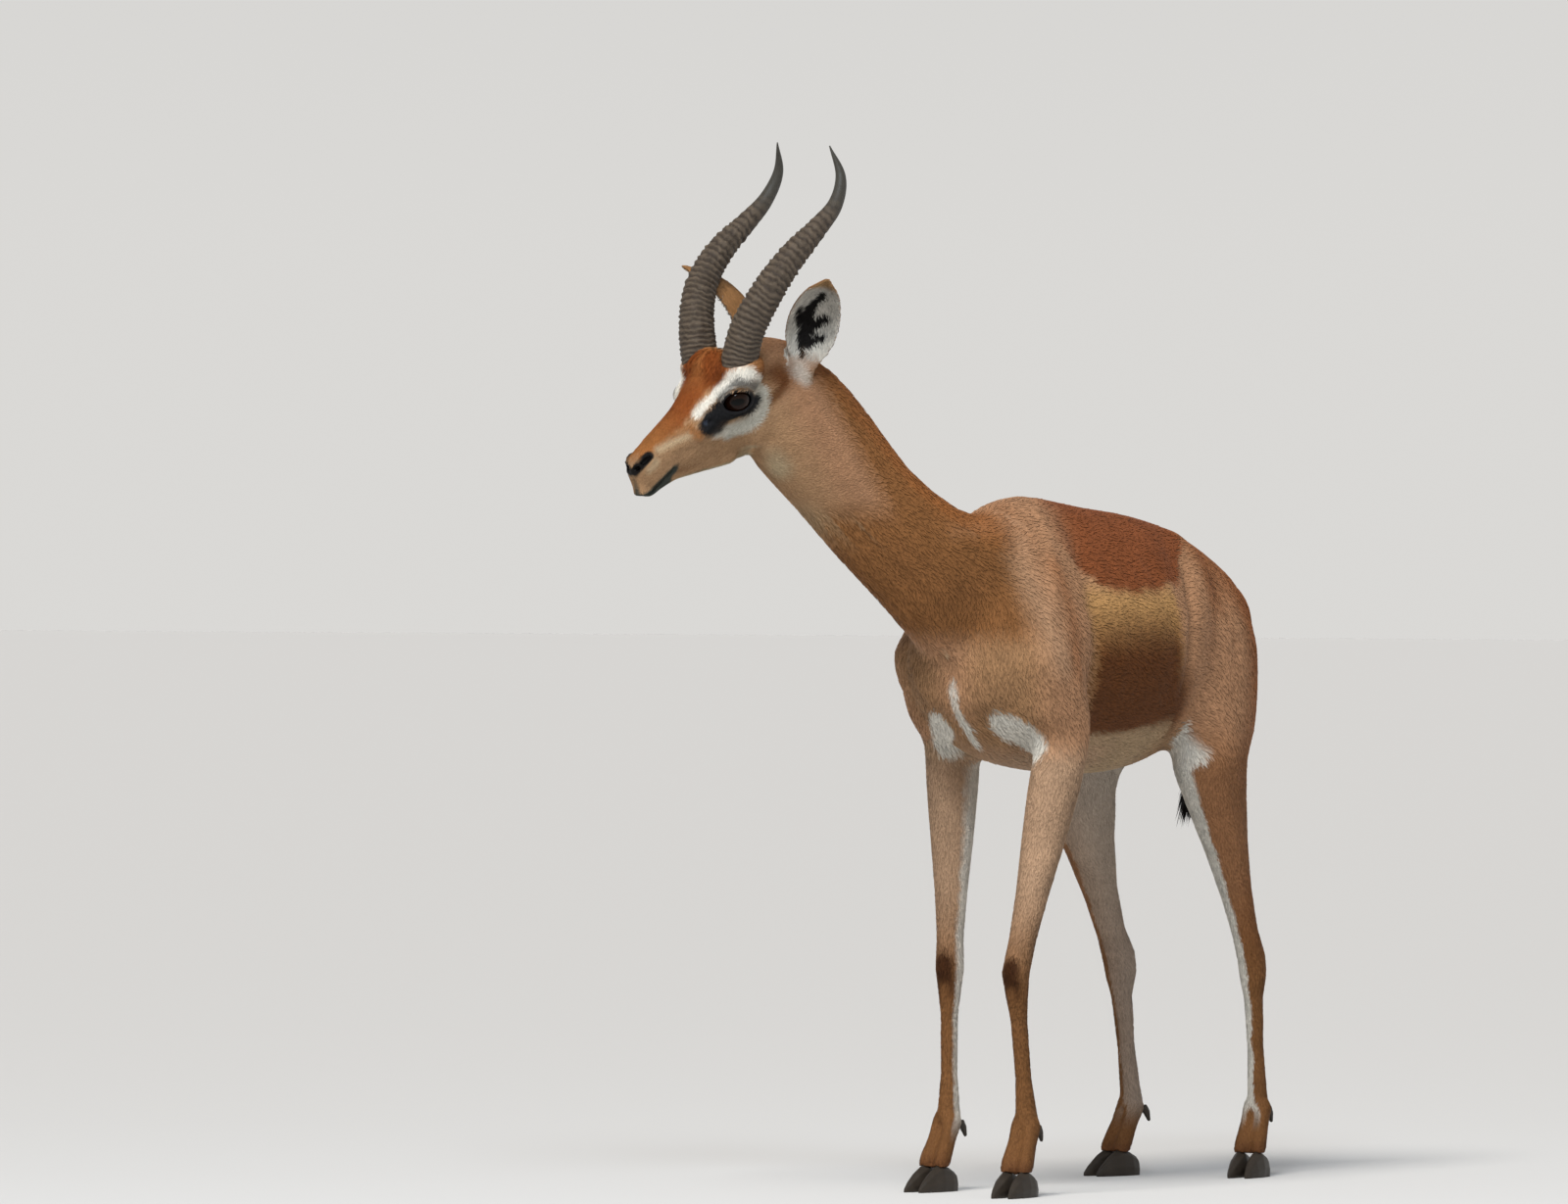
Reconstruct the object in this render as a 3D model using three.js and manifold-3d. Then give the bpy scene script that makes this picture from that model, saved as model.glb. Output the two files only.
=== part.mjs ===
// A male gerenuk, standing with its head turned a little to its right and its left forefoot
// stepping forward. Life size, in millimetres. +X runs forward along the trunk, +Y to the
// animal's left, +Z up from the ground. The group is moved at the end so that its origin lies
// on the ground below the middle of the whole animal.
import * as THREE from "three";
import { mergeVertices } from "three/addons/utils/BufferGeometryUtils.js";
import Module from "manifold-3d";

const wasm = await Module();
wasm.setup();

// Driving sizes.
const GAP = 0.3; // space between two pieces that touch
const SMOOTH = 0.12; // a facet edge that changes the form less than this is left out
const MIDDLE = { x: 213, y: -62 }; // the ground point below the middle of the animal
const LEFT = 1;
const RIGHT = -1;
const UP = new THREE.Vector3(0, 0, 1);

const HEAD_CENTRE = [680, -162, 1010]; // midway between the eyes
const HEAD_TURN = -20; // degrees about the vertical, to the animal's right
const HEAD_DROP = 29; // degrees, nose below the level
const HEAD_ROLL = 4; // degrees, left side down
const EYE = { forward: -12, out: 29.5, up: 7, radius: 21.5 };
const EYE_WAY = [0.42, 0.88, 0.1]; // the way that the left eye looks
const HORN_SIDES = 11;
const HORN_RINGS = 22;

const vec = (p) => new THREE.Vector3(...p);
const rad = THREE.MathUtils.degToRad;

// A three.js geometry as a solid that can be joined and cut.
function solid(geometry) {
  const bare = geometry.clone();
  bare.deleteAttribute("normal");
  bare.deleteAttribute("uv");
  const merged = mergeVertices(bare, 1e-4);
  return new wasm.Manifold(
    new wasm.Mesh({
      numProp: 3,
      vertProperties: new Float32Array(merged.attributes.position.array),
      triVerts: new Uint32Array(merged.index.array),
    }),
  );
}

// A solid as a three.js geometry.
function geometryOf(made) {
  const mesh = made.getMesh();
  const geometry = new THREE.BufferGeometry();
  geometry.setAttribute("position", new THREE.BufferAttribute(mesh.vertProperties, mesh.numProp));
  geometry.setIndex(new THREE.BufferAttribute(mesh.triVerts, 1));
  return geometry;
}

const join = (pieces) => pieces.reduce((whole, piece) => whole.add(piece));

// A closed skin over rings of equally many points, each end closed round its middle point.
function skinOver(rings) {
  const sides = rings[0].length;
  const points = rings.flat();
  const middleOf = (ring) => ring.reduce((sum, p) => sum.add(p), vec([0, 0, 0])).divideScalar(sides);
  points.push(middleOf(rings[0]), middleOf(rings.at(-1)));
  const first = points.length - 2;
  const last = points.length - 1;
  const faces = [];
  for (let r = 0; r + 1 < rings.length; r++) {
    for (let s = 0; s < sides; s++) {
      const a = r * sides + s;
      const b = r * sides + ((s + 1) % sides);
      faces.push(a, b, b + sides, a, b + sides, a + sides);
    }
  }
  const tail = (rings.length - 1) * sides;
  for (let s = 0; s < sides; s++) {
    const next = (s + 1) % sides;
    faces.push(first, next, s, last, tail + s, tail + next);
  }
  const geometry = new THREE.BufferGeometry().setFromPoints(points);
  geometry.setIndex(faces);
  return geometry;
}

// One ring of a rounded section: half wide, reaching above and below its centre, with its
// upper and lower halves squarer the larger crown and keel are.
function sectionRing({ centre, side, up, half, above, below, crown, keel }, sides) {
  return Array.from({ length: sides }, (_, s) => {
    const angle = (2 * Math.PI * s) / sides;
    const across = Math.cos(angle);
    const along = Math.sin(angle);
    const power = 2 / (along >= 0 ? crown : keel);
    const reach = along >= 0 ? above : below;
    return centre
      .clone()
      .addScaledVector(side, half * Math.sign(across) * Math.abs(across) ** power)
      .addScaledVector(up, reach * Math.sign(along) * Math.abs(along) ** power);
  });
}

// Sections run smoothly through the key stations. Without fixed axes each section stands square
// to the line through their centres. Domes of the given depths round off the two ends, in as
// many rings as there are shares of the depth in round.
function loft(keys, { sides, steps, axes, side = [0, 1, 0], domes = [0, 0], round = [0.45, 0.8, 0.96] }) {
  const smooth = (points) => new THREE.CatmullRomCurve3(points, false, "catmullrom", 0.5);
  const centres = smooth(keys.map((k) => vec(k.at)));
  const sizes = smooth(keys.map((k) => vec([k.half, k.above, k.below])));
  const shapes = smooth(keys.map((k) => vec([k.crown ?? 2, k.keel ?? 2, 0])));
  const count = (keys.length - 1) * steps;
  const stations = Array.from({ length: count + 1 }, (_, i) => {
    const t = i / count;
    const size = sizes.getPoint(t);
    const shape = shapes.getPoint(t);
    const forward = centres.getTangent(t);
    const across = axes ? vec(axes.side) : vec(side).addScaledVector(forward, -vec(side).dot(forward));
    across.normalize();
    const up = axes ? vec(axes.up) : new THREE.Vector3().crossVectors(forward, across).normalize();
    return {
      centre: centres.getPoint(t),
      side: across,
      up,
      forward: axes ? new THREE.Vector3().crossVectors(across, up).multiplyScalar(axes.sense) : forward,
      half: Math.max(size.x, 0.4),
      above: Math.max(size.y, 0.4),
      below: Math.max(size.z, 0.4),
      crown: shape.x,
      keel: shape.y,
    };
  });
  const dome = (station, depth, sense) =>
    round.map((share) => {
      const shrink = Math.sqrt(1 - share * share);
      return {
        ...station,
        centre: station.centre.clone().addScaledVector(station.forward, sense * depth * share),
        half: station.half * shrink,
        above: station.above * shrink,
        below: station.below * shrink,
      };
    });
  const start = domes[0] ? dome(stations[0], domes[0], -1).reverse() : [];
  const end = domes[1] ? dome(stations.at(-1), domes[1], 1) : [];
  const rings = [...start, ...stations, ...end].map((s) => sectionRing(s, sides));
  const made = solid(skinOver(rings));
  return made.volume() > 0 ? made : solid(skinOver(rings.map((ring) => ring.slice().reverse())));
}

// An ellipsoid with the given half sizes, turned by Euler angles in degrees.
function ball(at, [rx, ry, rz], turn = [0, 0, 0], detail = 14) {
  const geometry = new THREE.SphereGeometry(1, detail, Math.round(detail * 0.7));
  const place = new THREE.Matrix4().compose(
    vec(at),
    new THREE.Quaternion().setFromEuler(new THREE.Euler(...turn.map(rad))),
    vec([rx, ry, rz]),
  );
  return solid(geometry.applyMatrix4(place));
}

// A slab as thin as the gap that parts what it passes through. It faces towards a direction and
// reaches the first length along its own line and the second across it.
function knife(at, towards, along, [length, breadth]) {
  const face = vec(towards).normalize();
  const line = vec(along).addScaledVector(face, -vec(along).dot(face)).normalize();
  const geometry = new THREE.BoxGeometry(length, breadth, GAP);
  geometry.applyMatrix4(new THREE.Matrix4().makeBasis(line, face.clone().cross(line), face).setPosition(...at));
  return solid(geometry);
}

// The trunk, in upright sections from the breast back to the rump.
const TRUNK = [
  { x: 338, top: 808, low: 612, wide: 686, half: 80, crown: 2, keel: 2 },
  { x: 296, top: 879, low: 572, wide: 690, half: 106, crown: 1.75, keel: 2.1 },
  { x: 245, top: 897, low: 553, wide: 690, half: 113, crown: 1.6, keel: 2.1 },
  { x: 190, top: 903, low: 543, wide: 690, half: 116, crown: 1.6, keel: 2 },
  { x: 120, top: 895, low: 537, wide: 688, half: 122, crown: 1.75, keel: 2 },
  { x: 40, top: 885, low: 534, wide: 688, half: 127, crown: 1.95, keel: 2 },
  { x: -40, top: 878, low: 539, wide: 694, half: 126, crown: 2.05, keel: 2 },
  { x: -110, top: 868, low: 555, wide: 708, half: 113, crown: 2.1, keel: 2 },
  { x: -170, top: 853, low: 578, wide: 725, half: 98, crown: 2.1, keel: 2 },
  { x: -230, top: 829, low: 610, wide: 735, half: 92, crown: 2, keel: 2 },
  { x: -285, top: 799, low: 650, wide: 735, half: 78, crown: 2, keel: 2 },
  { x: -322, top: 772, low: 685, wide: 732, half: 56, crown: 2, keel: 2 },
];

function trunk() {
  const keys = TRUNK.map(({ x, top, low, wide, half, crown, keel }) => ({
    at: [x, 0, wide],
    half,
    above: top - wide,
    below: wide - low,
    crown,
    keel,
  }));
  return loft(keys, {
    sides: 22,
    steps: 2,
    axes: { side: [0, 1, 0], up: [0, 0, 1], sense: -1 },
    domes: [26, 30],
  });
}

// The neck, square to its own line, from inside the chest to the back of the head.
const NECK = [
  { at: [236, 0, 748], half: 76, above: 126, below: 124 },
  { at: [312, -6, 782], half: 70, above: 102, below: 114 },
  { at: [386, -20, 822], half: 58, above: 72, below: 96 },
  { at: [462, -55, 878], half: 50, above: 73, below: 81 },
  { at: [526, -88, 943], half: 47, above: 86, below: 76 },
  { at: [573, -112, 990], half: 46, above: 90, below: 74 },
  { at: [606, -130, 1022], half: 42, above: 80, below: 60 },
];

const neck = () => loft(NECK, { sides: 20, steps: 2, side: [0.38, 0.92, 0], domes: [0, 12] });

// The head in its own frame: forward towards the nose, left, and up square to both.
const HEAD = [
  { x: -134, top: 27, low: -58, wide: -22, half: 31, crown: 2, keel: 2 },
  { x: -108, top: 44, low: -72, wide: -16, half: 39, crown: 2.1, keel: 2 },
  { x: -80, top: 53, low: -82, wide: -10, half: 43, crown: 2.1, keel: 1.9 },
  { x: -48, top: 52, low: -84, wide: -4, half: 44, crown: 2.2, keel: 1.8 },
  { x: -14, top: 54, low: -80, wide: 4, half: 43, crown: 2.3, keel: 1.6 },
  { x: 20, top: 44, low: -71, wide: 2, half: 37, crown: 2.2, keel: 1.6 },
  { x: 50, top: 33, low: -61, wide: -6, half: 30, crown: 2, keel: 1.7 },
  { x: 80, top: 26, low: -51, wide: -10, half: 25, crown: 2, keel: 1.8 },
  { x: 106, top: 20, low: -43, wide: -12, half: 22.5, crown: 2.1, keel: 2 },
  { x: 128, top: 14, low: -42, wide: -13, half: 22, crown: 2.2, keel: 2.2 },
  { x: 147, top: 4, low: -43, wide: -16, half: 18.5, crown: 2.3, keel: 2.4 },
];

// The lower jaw, set in a little under the upper lip.
const JAW = [
  { x: 10, top: -50, low: -76, half: 21 },
  { x: 60, top: -40, low: -61, half: 17 },
  { x: 100, top: -32, low: -49.5, half: 15 },
  { x: 126, top: -34, low: -48, half: 14.5 },
  { x: 145, top: -38, low: -49, half: 12.5 },
];

const headAxes = { side: [0, 1, 0], up: [0, 0, 1], sense: 1 };
const facing = (keys) =>
  keys.map(({ x, top, low, wide = (top + low) / 2, half, crown, keel }) => ({
    at: [x, 0, wide],
    half,
    above: top - wide,
    below: wide - low,
    crown,
    keel,
  }));

// Eyeball, swollen by the gap where it is used to cut its own seat.
const eyeball = (hand, swell = 0) => {
  const r = EYE.radius + swell;
  return ball([EYE.forward, hand * EYE.out, EYE.up], [r, r, r], [0, 0, 0], 13);
};

function skull() {
  const face = loft(facing(HEAD), { sides: 20, steps: 2, axes: headAxes, domes: [14, 10] });
  const jaw = loft(facing(JAW), { sides: 12, steps: 1, axes: headAxes, domes: [10, 6], round: [0.7] });
  const bumps = [LEFT, RIGHT].flatMap((hand) => [
    // Orbit rim, brow, cheek muscle, horn core and the wing of the nostril.
    ball([-6, hand * 31, 10], [37, 22, 25], [0, 10, hand * -8], 12),
    ball([2, hand * 36, 27], [27, 15, 13], [0, 10, 0], 10),
    ball([-46, hand * 24, -38], [42, 18, 38], [0, 25, 0], 11),
    ball([-34, hand * 37, 38], [33, 30, 30], [0, 0, 0], 12),
    ball([138, hand * 11, -2], [16, 11, 11], [0, 0, hand * -18], 9),
  ]);
  // The thick hair of the forehead stands up between the horns.
  const forelock = ball([-20, 0, 48], [28, 40, 24], [0, 12, 0], 11);
  const lip = ball([147, 0, -34], [14, 16, 12.5], [0, 0, 0], 9);
  return join([face, jaw, forelock, lip, ...bumps]);
}

// Lids that close over the eyeball and leave an almond opening.
function lidded(head, hand) {
  const at = [EYE.forward, hand * EYE.out, EYE.up];
  const r = EYE.radius + 3;
  const lids = ball(at, [r, r, r - 1], [0, 0, 0], 14);
  const way = vec(EYE_WAY).normalize();
  way.y *= hand;
  const corner = vec([0.94, 0, 0.3]);
  const slant = corner.addScaledVector(way, -corner.dot(way)).normalize();
  const opening = new THREE.CylinderGeometry(1, 1, 30, 14);
  opening.applyMatrix4(
    new THREE.Matrix4()
      .makeBasis(slant, way, slant.clone().cross(way))
      .scale(vec([20, 1, 12.5]))
      .setPosition(...vec(at).addScaledVector(way, 15 + 8)),
  );
  return head.add(lids).subtract(solid(opening)).subtract(eyeball(hand, GAP));
}

// A nostril: a slit that widens upwards and back from the front of the nose.
const nostril = (hand) =>
  join([
    ball([149, hand * 10, -5], [9, 5, 3], [0, 0, hand * -40], 8),
    ball([140, hand * 17, 1], [10, 5.5, 4], [0, 10, hand * -22], 8),
  ]);

// The line of the mouth, cut in from each side and round the front.
const MOUTH = [
  [104, -29],
  [118, -32.5],
  [134, -37.5],
  [148, -42],
  [168, -45],
];

function mouth() {
  const line = new THREE.CatmullRomCurve3(MOUTH.map(([x, z]) => vec([x, 0, z])));
  const edge = line.getPoints(6);
  const cut = new THREE.Shape([
    ...edge.map((p) => new THREE.Vector2(p.x, p.z + 0.9)),
    ...edge.reverse().map((p) => new THREE.Vector2(p.x, p.z - 0.9)),
  ]);
  const across = new THREE.ExtrudeGeometry(cut, { depth: 80, bevelEnabled: false, steps: 1 });
  across.rotateX(Math.PI / 2);
  across.translate(0, 40, 0);
  const core = loft(facing(JAW.map((k) => ({ ...k, top: k.top + 10, low: k.low - 4, half: k.half - 5 }))), {
    sides: 10,
    steps: 1,
    axes: headAxes,
    domes: [8, 2],
    round: [0.7],
  });
  return solid(across).subtract(core);
}

// A horn: it rises over the eye, sweeps back and out, and hooks up and in at the tip.
const HORN_LINE = [
  [-24, 33, 26],
  [-36, 40, 53],
  [-56, 50, 85],
  [-84, 62, 111],
  [-117, 69, 131],
  [-157, 71, 145],
  [-199, 70, 154],
  [-241, 68, 166],
  [-270, 61, 191],
  [-278, 51, 230],
];
const HORN_THICK = [19.5, 24.5, 23.6, 22.2, 20, 17.1, 13.6, 10.2, 6.9, 0.8];

function horn(hand, swell = 0) {
  const line = new THREE.CatmullRomCurve3(HORN_LINE.map(([x, y, z]) => vec([x, hand * y, z])), false, "centripetal");
  const sizes = new THREE.SplineCurve(HORN_THICK.map((r, i) => new THREE.Vector2(i, r)));
  const steps = HORN_RINGS * 2;
  const ringed = 0.7; // the share of its length that carries rings
  const rings = Array.from({ length: steps + 1 }, (_, i) => {
    const t = i / steps;
    const tangent = line.getTangent(t);
    const side = new THREE.Vector3(0, 1, 0).addScaledVector(tangent, -tangent.y).normalize();
    const up = new THREE.Vector3().crossVectors(tangent, side);
    const fade = THREE.MathUtils.smoothstep(ringed + 0.12 - t, 0, 0.3);
    const ridge = 0.05 * fade * (i % 2 ? 1 : -1);
    const r = sizes.getPoint(t).y * (1 + ridge) + swell;
    return sectionRing(
      { centre: line.getPoint(t), side, up, half: r * 0.86, above: r, below: r, crown: 2, keel: 2 },
      HORN_SIDES,
    );
  });
  const made = solid(skinOver(rings));
  return made.volume() > 0 ? made : solid(skinOver(rings.map((ring) => ring.slice().reverse())));
}

// An ear: a leaf-shaped cup whose sections are arcs with thickness, closing to a solid root.
const EAR_WALL = 3.4;
const EAR = {
  radius: [15, 17, 25, 33, 36, 35, 30, 20, 3],
  spread: [95, 95, 92, 86, 80, 76, 74, 74, 80], // degrees each way from the back of the cup
  fill: [1, 0.85, 0.2, 0, 0, 0, 0, 0, 0],
};

function ear({ root, towards, opening, long }) {
  const axis = vec(towards).normalize();
  const front = vec(opening).addScaledVector(axis, -vec(opening).dot(axis)).normalize();
  const side = new THREE.Vector3().crossVectors(axis, front);
  const curve = (values) => new THREE.SplineCurve(values.map((v, i) => new THREE.Vector2(i, v)));
  const [radius, spread, fill] = [EAR.radius, EAR.spread, EAR.fill].map(curve);
  const steps = 14;
  const arc = 9;
  const rings = Array.from({ length: steps + 1 }, (_, i) => {
    const t = i / steps;
    const r = radius.getPoint(t).y;
    const open = rad(spread.getPoint(t).y);
    const filled = THREE.MathUtils.clamp(fill.getPoint(t).y, 0, 1);
    const wall = Math.min(EAR_WALL, r * 0.5);
    const lean = 16 * t * t; // the tip bends towards the opening
    const centre = vec(root).addScaledVector(axis, long * t).addScaledVector(front, lean);
    const point = (angle, reach) =>
      centre
        .clone()
        .addScaledVector(front, -Math.cos(angle) * reach)
        .addScaledVector(side, Math.sin(angle) * reach * 0.96);
    const outer = Array.from({ length: arc }, (_, s) => point(open * ((2 * s) / (arc - 1) - 1), r));
    const inner = Array.from({ length: arc - 2 }, (_, s) => {
      const share = (2 * (s + 1)) / (arc - 1) - 1;
      const concave = point(-open * share, r - wall);
      const closed = point(Math.PI - (Math.PI - open) * -share, r);
      return concave.lerp(closed, filled);
    });
    return [...outer, ...inner];
  });
  const made = solid(skinOver(rings));
  return made.volume() > 0 ? made : solid(skinOver(rings.map((ring) => ring.slice().reverse())));
}

// How far each leg bone reaches, and how thick the flesh is along it. Each row gives the bone,
// the share of its length, the reach in front and behind, and the half width.
const FORELEG_FLESH = [
  [0, 0, 30, 34, 16],
  [0, 0.5, 54, 60, 27],
  [0, 1, 62, 50, 32],
  [1, 0.55, 60, 54, 35],
  [2, 0, 44, 48, 35],
  [2, 0.18, 36, 41, 33],
  [2, 0.42, 27, 33, 28],
  [2, 0.68, 20.5, 24, 20.5],
  [2, 0.86, 18.5, 19.5, 17],
  [2, 1, 20, 21, 17.5],
  [3, 0.14, 16, 17.5, 14],
  [3, 0.3, 12, 13, 10.5],
  [3, 0.7, 11.5, 12.5, 10],
  [3, 0.9, 14.5, 16, 13],
  [3, 1, 16, 18.5, 14.5],
];
const HINDLEG_FLESH = [
  [0, 0, 66, 70, 26],
  [0, 0.5, 84, 108, 38],
  [0, 1, 92, 124, 46],
  [1, 0.3, 90, 127, 49],
  [1, 0.62, 84, 118, 50],
  [1, 1, 64, 94, 44],
  [2, 0.2, 46, 70, 35],
  [2, 0.42, 34, 43, 26.5],
  [2, 0.64, 25, 27, 20],
  [2, 0.84, 20.5, 23, 16.5],
  [2, 0.98, 21, 30, 17.5],
  [3, 0.08, 20, 28, 17],
  [3, 0.24, 14.5, 15.5, 12.5],
  [3, 0.6, 13, 13.5, 10.5],
  [3, 0.88, 14.5, 16.5, 13],
  [3, 1, 16, 19, 14.5],
];

// Each leg's joints from the top of its shoulder blade or haunch down to the fetlock.
const LEGS = {
  foreleg_left: {
    joints: [[186, 58, 828], [276, 96, 684], [240, 94, 588], [342, 82, 285], [306, 78, 94]],
    flesh: FORELEG_FLESH,
    toe: 4,
  },
  foreleg_right: {
    joints: [[176, -58, 828], [266, -96, 690], [208, -91, 588], [230, -82, 285], [236, -80, 94]],
    flesh: FORELEG_FLESH,
    toe: -8,
  },
  hindleg_left: {
    joints: [[-188, 48, 786], [-188, 72, 716], [-150, 86, 545], [-267, 87, 281], [-289, 84, 95]],
    flesh: HINDLEG_FLESH,
    toe: 8,
  },
  hindleg_right: {
    joints: [[-174, -46, 786], [-152, -62, 716], [-69, -79, 545], [-206, -81, 281], [-236, -78, 95]],
    flesh: HINDLEG_FLESH,
    toe: -16,
  },
};

function leg({ joints, flesh, toe }) {
  const keys = flesh.map(([bone, share, front, back, half]) => ({
    at: vec(joints[bone]).lerp(vec(joints[bone + 1]), share).toArray(),
    half,
    above: front,
    below: back,
  }));
  const side = [-Math.sin(rad(toe)), Math.cos(rad(toe)), 0];
  return loft(keys, { sides: 12, steps: 1, side, domes: [12, 10] });
}

// A foot has two toes. The pastern slopes forward from the fetlock, and each toe ends in a hoof.
const PASTERN = [
  { x: 0, z: 0, above: 15, below: 15, half: 9 },
  { x: 13, z: -26, above: 12, below: 12, half: 8.5 },
  { x: 27, z: -52, above: 13, below: 14, half: 10 },
  { x: 33, z: -66, above: 12, below: 13, half: 9.5 },
];
const HOOF = [
  { x: 4, top: 25, half: 7 },
  { x: 16, top: 31, half: 10.5 },
  { x: 34, top: 37, half: 11.5 },
  { x: 52, top: 27, half: 9.5 },
  { x: 66, top: 15, half: 6 },
  { x: 74, top: 7, half: 2.4 },
];
const TOE_APART = 12; // from the middle of the foot to the middle of a toe

function toePlace(legRow, share) {
  const [x, y] = legRow.joints.at(-1);
  return new THREE.Matrix4()
    .makeRotationZ(rad(legRow.toe))
    .setPosition(x, y, 0)
    .multiply(new THREE.Matrix4().makeTranslation(0, share * TOE_APART, 0));
}

function pastern(legRow, share) {
  const height = legRow.joints.at(-1)[2];
  const keys = PASTERN.map(({ x, z, ...rest }) => ({ at: [x, share * -2.5 * (1 - x / 30), height + z], ...rest }));
  const made = loft(keys, { sides: 8, steps: 1, domes: [6, 4], round: [0.75] });
  return made.transform(toePlace(legRow, share).toArray());
}

function hoof(legRow, share, swell = 0) {
  const keys = HOOF.map(({ x, top, half }) => ({
    at: [x, 0, 0.35 * top],
    half: half + swell,
    above: 0.65 * top + swell,
    below: 0.35 * top + 9,
    crown: 1.9,
    keel: 3.2,
  }));
  const axes = { side: [0, 1, 0], up: [0, 0, 1], sense: 1 };
  const made = loft(keys, { sides: 8, steps: 1, axes, domes: [5, 2], round: [0.75] });
  return made.transform(toePlace(legRow, share).toArray()).trimByPlane([0, 0, 1], swell ? -1 : 0);
}

function dewclaw(legRow, share, swell = 0) {
  const height = legRow.joints.at(-1)[2];
  const keys = [
    { at: [-12, 0, height - 6], half: 5 + swell, above: 6 + swell, below: 6 + swell },
    { at: [-18, 0, height - 13], half: 4.5 + swell, above: 5 + swell, below: 5 + swell },
    { at: [-22, 0, height - 23], half: 2.4 + swell, above: 2.4 + swell, below: 2.4 + swell },
  ];
  const made = loft(keys, { sides: 6, steps: 1, domes: [2 + swell, 2], round: [0.75] });
  return made.transform(toePlace(legRow, share * 0.85).toArray());
}

// The tail hangs behind the rump and swings a little to the right. It ends in a brush of locks.
const TAIL = [
  { at: [-306, 0, 752], half: 19, above: 17, below: 17 },
  { at: [-344, -2, 744], half: 14, above: 12, below: 12 },
  { at: [-371, -10, 706], half: 10, above: 9, below: 9 },
  { at: [-376, -24, 652], half: 7.5, above: 7, below: 7 },
  { at: [-368, -40, 600], half: 6, above: 6, below: 6 },
  { at: [-352, -56, 552], half: 5, above: 5, below: 5 },
];
const TAIL_LOCKS = 12;

function tailLock(i) {
  const turn = i * 2.39996; // turns by the golden angle, so that locks spread evenly
  const down = i / TAIL_LOCKS;
  const [x, y, z] = [-369 + 17 * down, -40 - 16 * down, 614 - 60 * down];
  const out = 4 + 5 * Math.sin(Math.PI * Math.min(1, down + 0.35));
  const [c, s] = [Math.cos(turn), Math.sin(turn)];
  const length = 74 + 34 * down;
  const keys = [0, 0.3, 0.65, 1].map((t) => ({
    at: [
      x + c * (2 + out * Math.sin(Math.PI * t) * 1.3) + 22 * t,
      y + s * (2 + out * Math.sin(Math.PI * t) * 1.3) - 8 * t,
      z - length * t,
    ],
    half: [3.4, 4.4, 3, 0.5][Math.round(t * 3)],
    above: [2.2, 2.4, 1.6, 0.4][Math.round(t * 3)],
    below: [2.2, 2.4, 1.6, 0.4][Math.round(t * 3)],
  }));
  return loft(keys, { sides: 5, steps: 1, side: [-s, c, 0] });
}

function tail() {
  const dock = loft(TAIL, { sides: 8, steps: 2, domes: [6, 5], round: [0.75] });
  const locks = Array.from({ length: TAIL_LOCKS }, (_, i) => tailLock(i));
  return join([dock, ...locks]);
}

// Where the head sits, and its own frame's matrix.
const headPlace = new THREE.Matrix4().compose(
  vec(HEAD_CENTRE),
  new THREE.Quaternion()
    .setFromAxisAngle(UP, rad(HEAD_TURN))
    .multiply(new THREE.Quaternion().setFromEuler(new THREE.Euler(rad(-HEAD_ROLL), rad(HEAD_DROP), 0, "ZYX"))),
  vec([1, 1, 1]),
);
const onHead = (made) => made.transform(headPlace.toArray());
const headPoint = (p) => vec(p).applyMatrix4(headPlace);
const headWay = (p) => vec(p).transformDirection(headPlace);

const EARS = {
  ear_left: { root: [-114, 36, -22], towards: [-0.34, 0.41, 0.84], opening: [0.55, 0.8, 0.05], long: 152 },
  ear_right: { root: [-114, -36, -12], towards: [-0.1, -0.47, 0.94], opening: [0.75, -0.6, 0.1], long: 166 },
};

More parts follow.
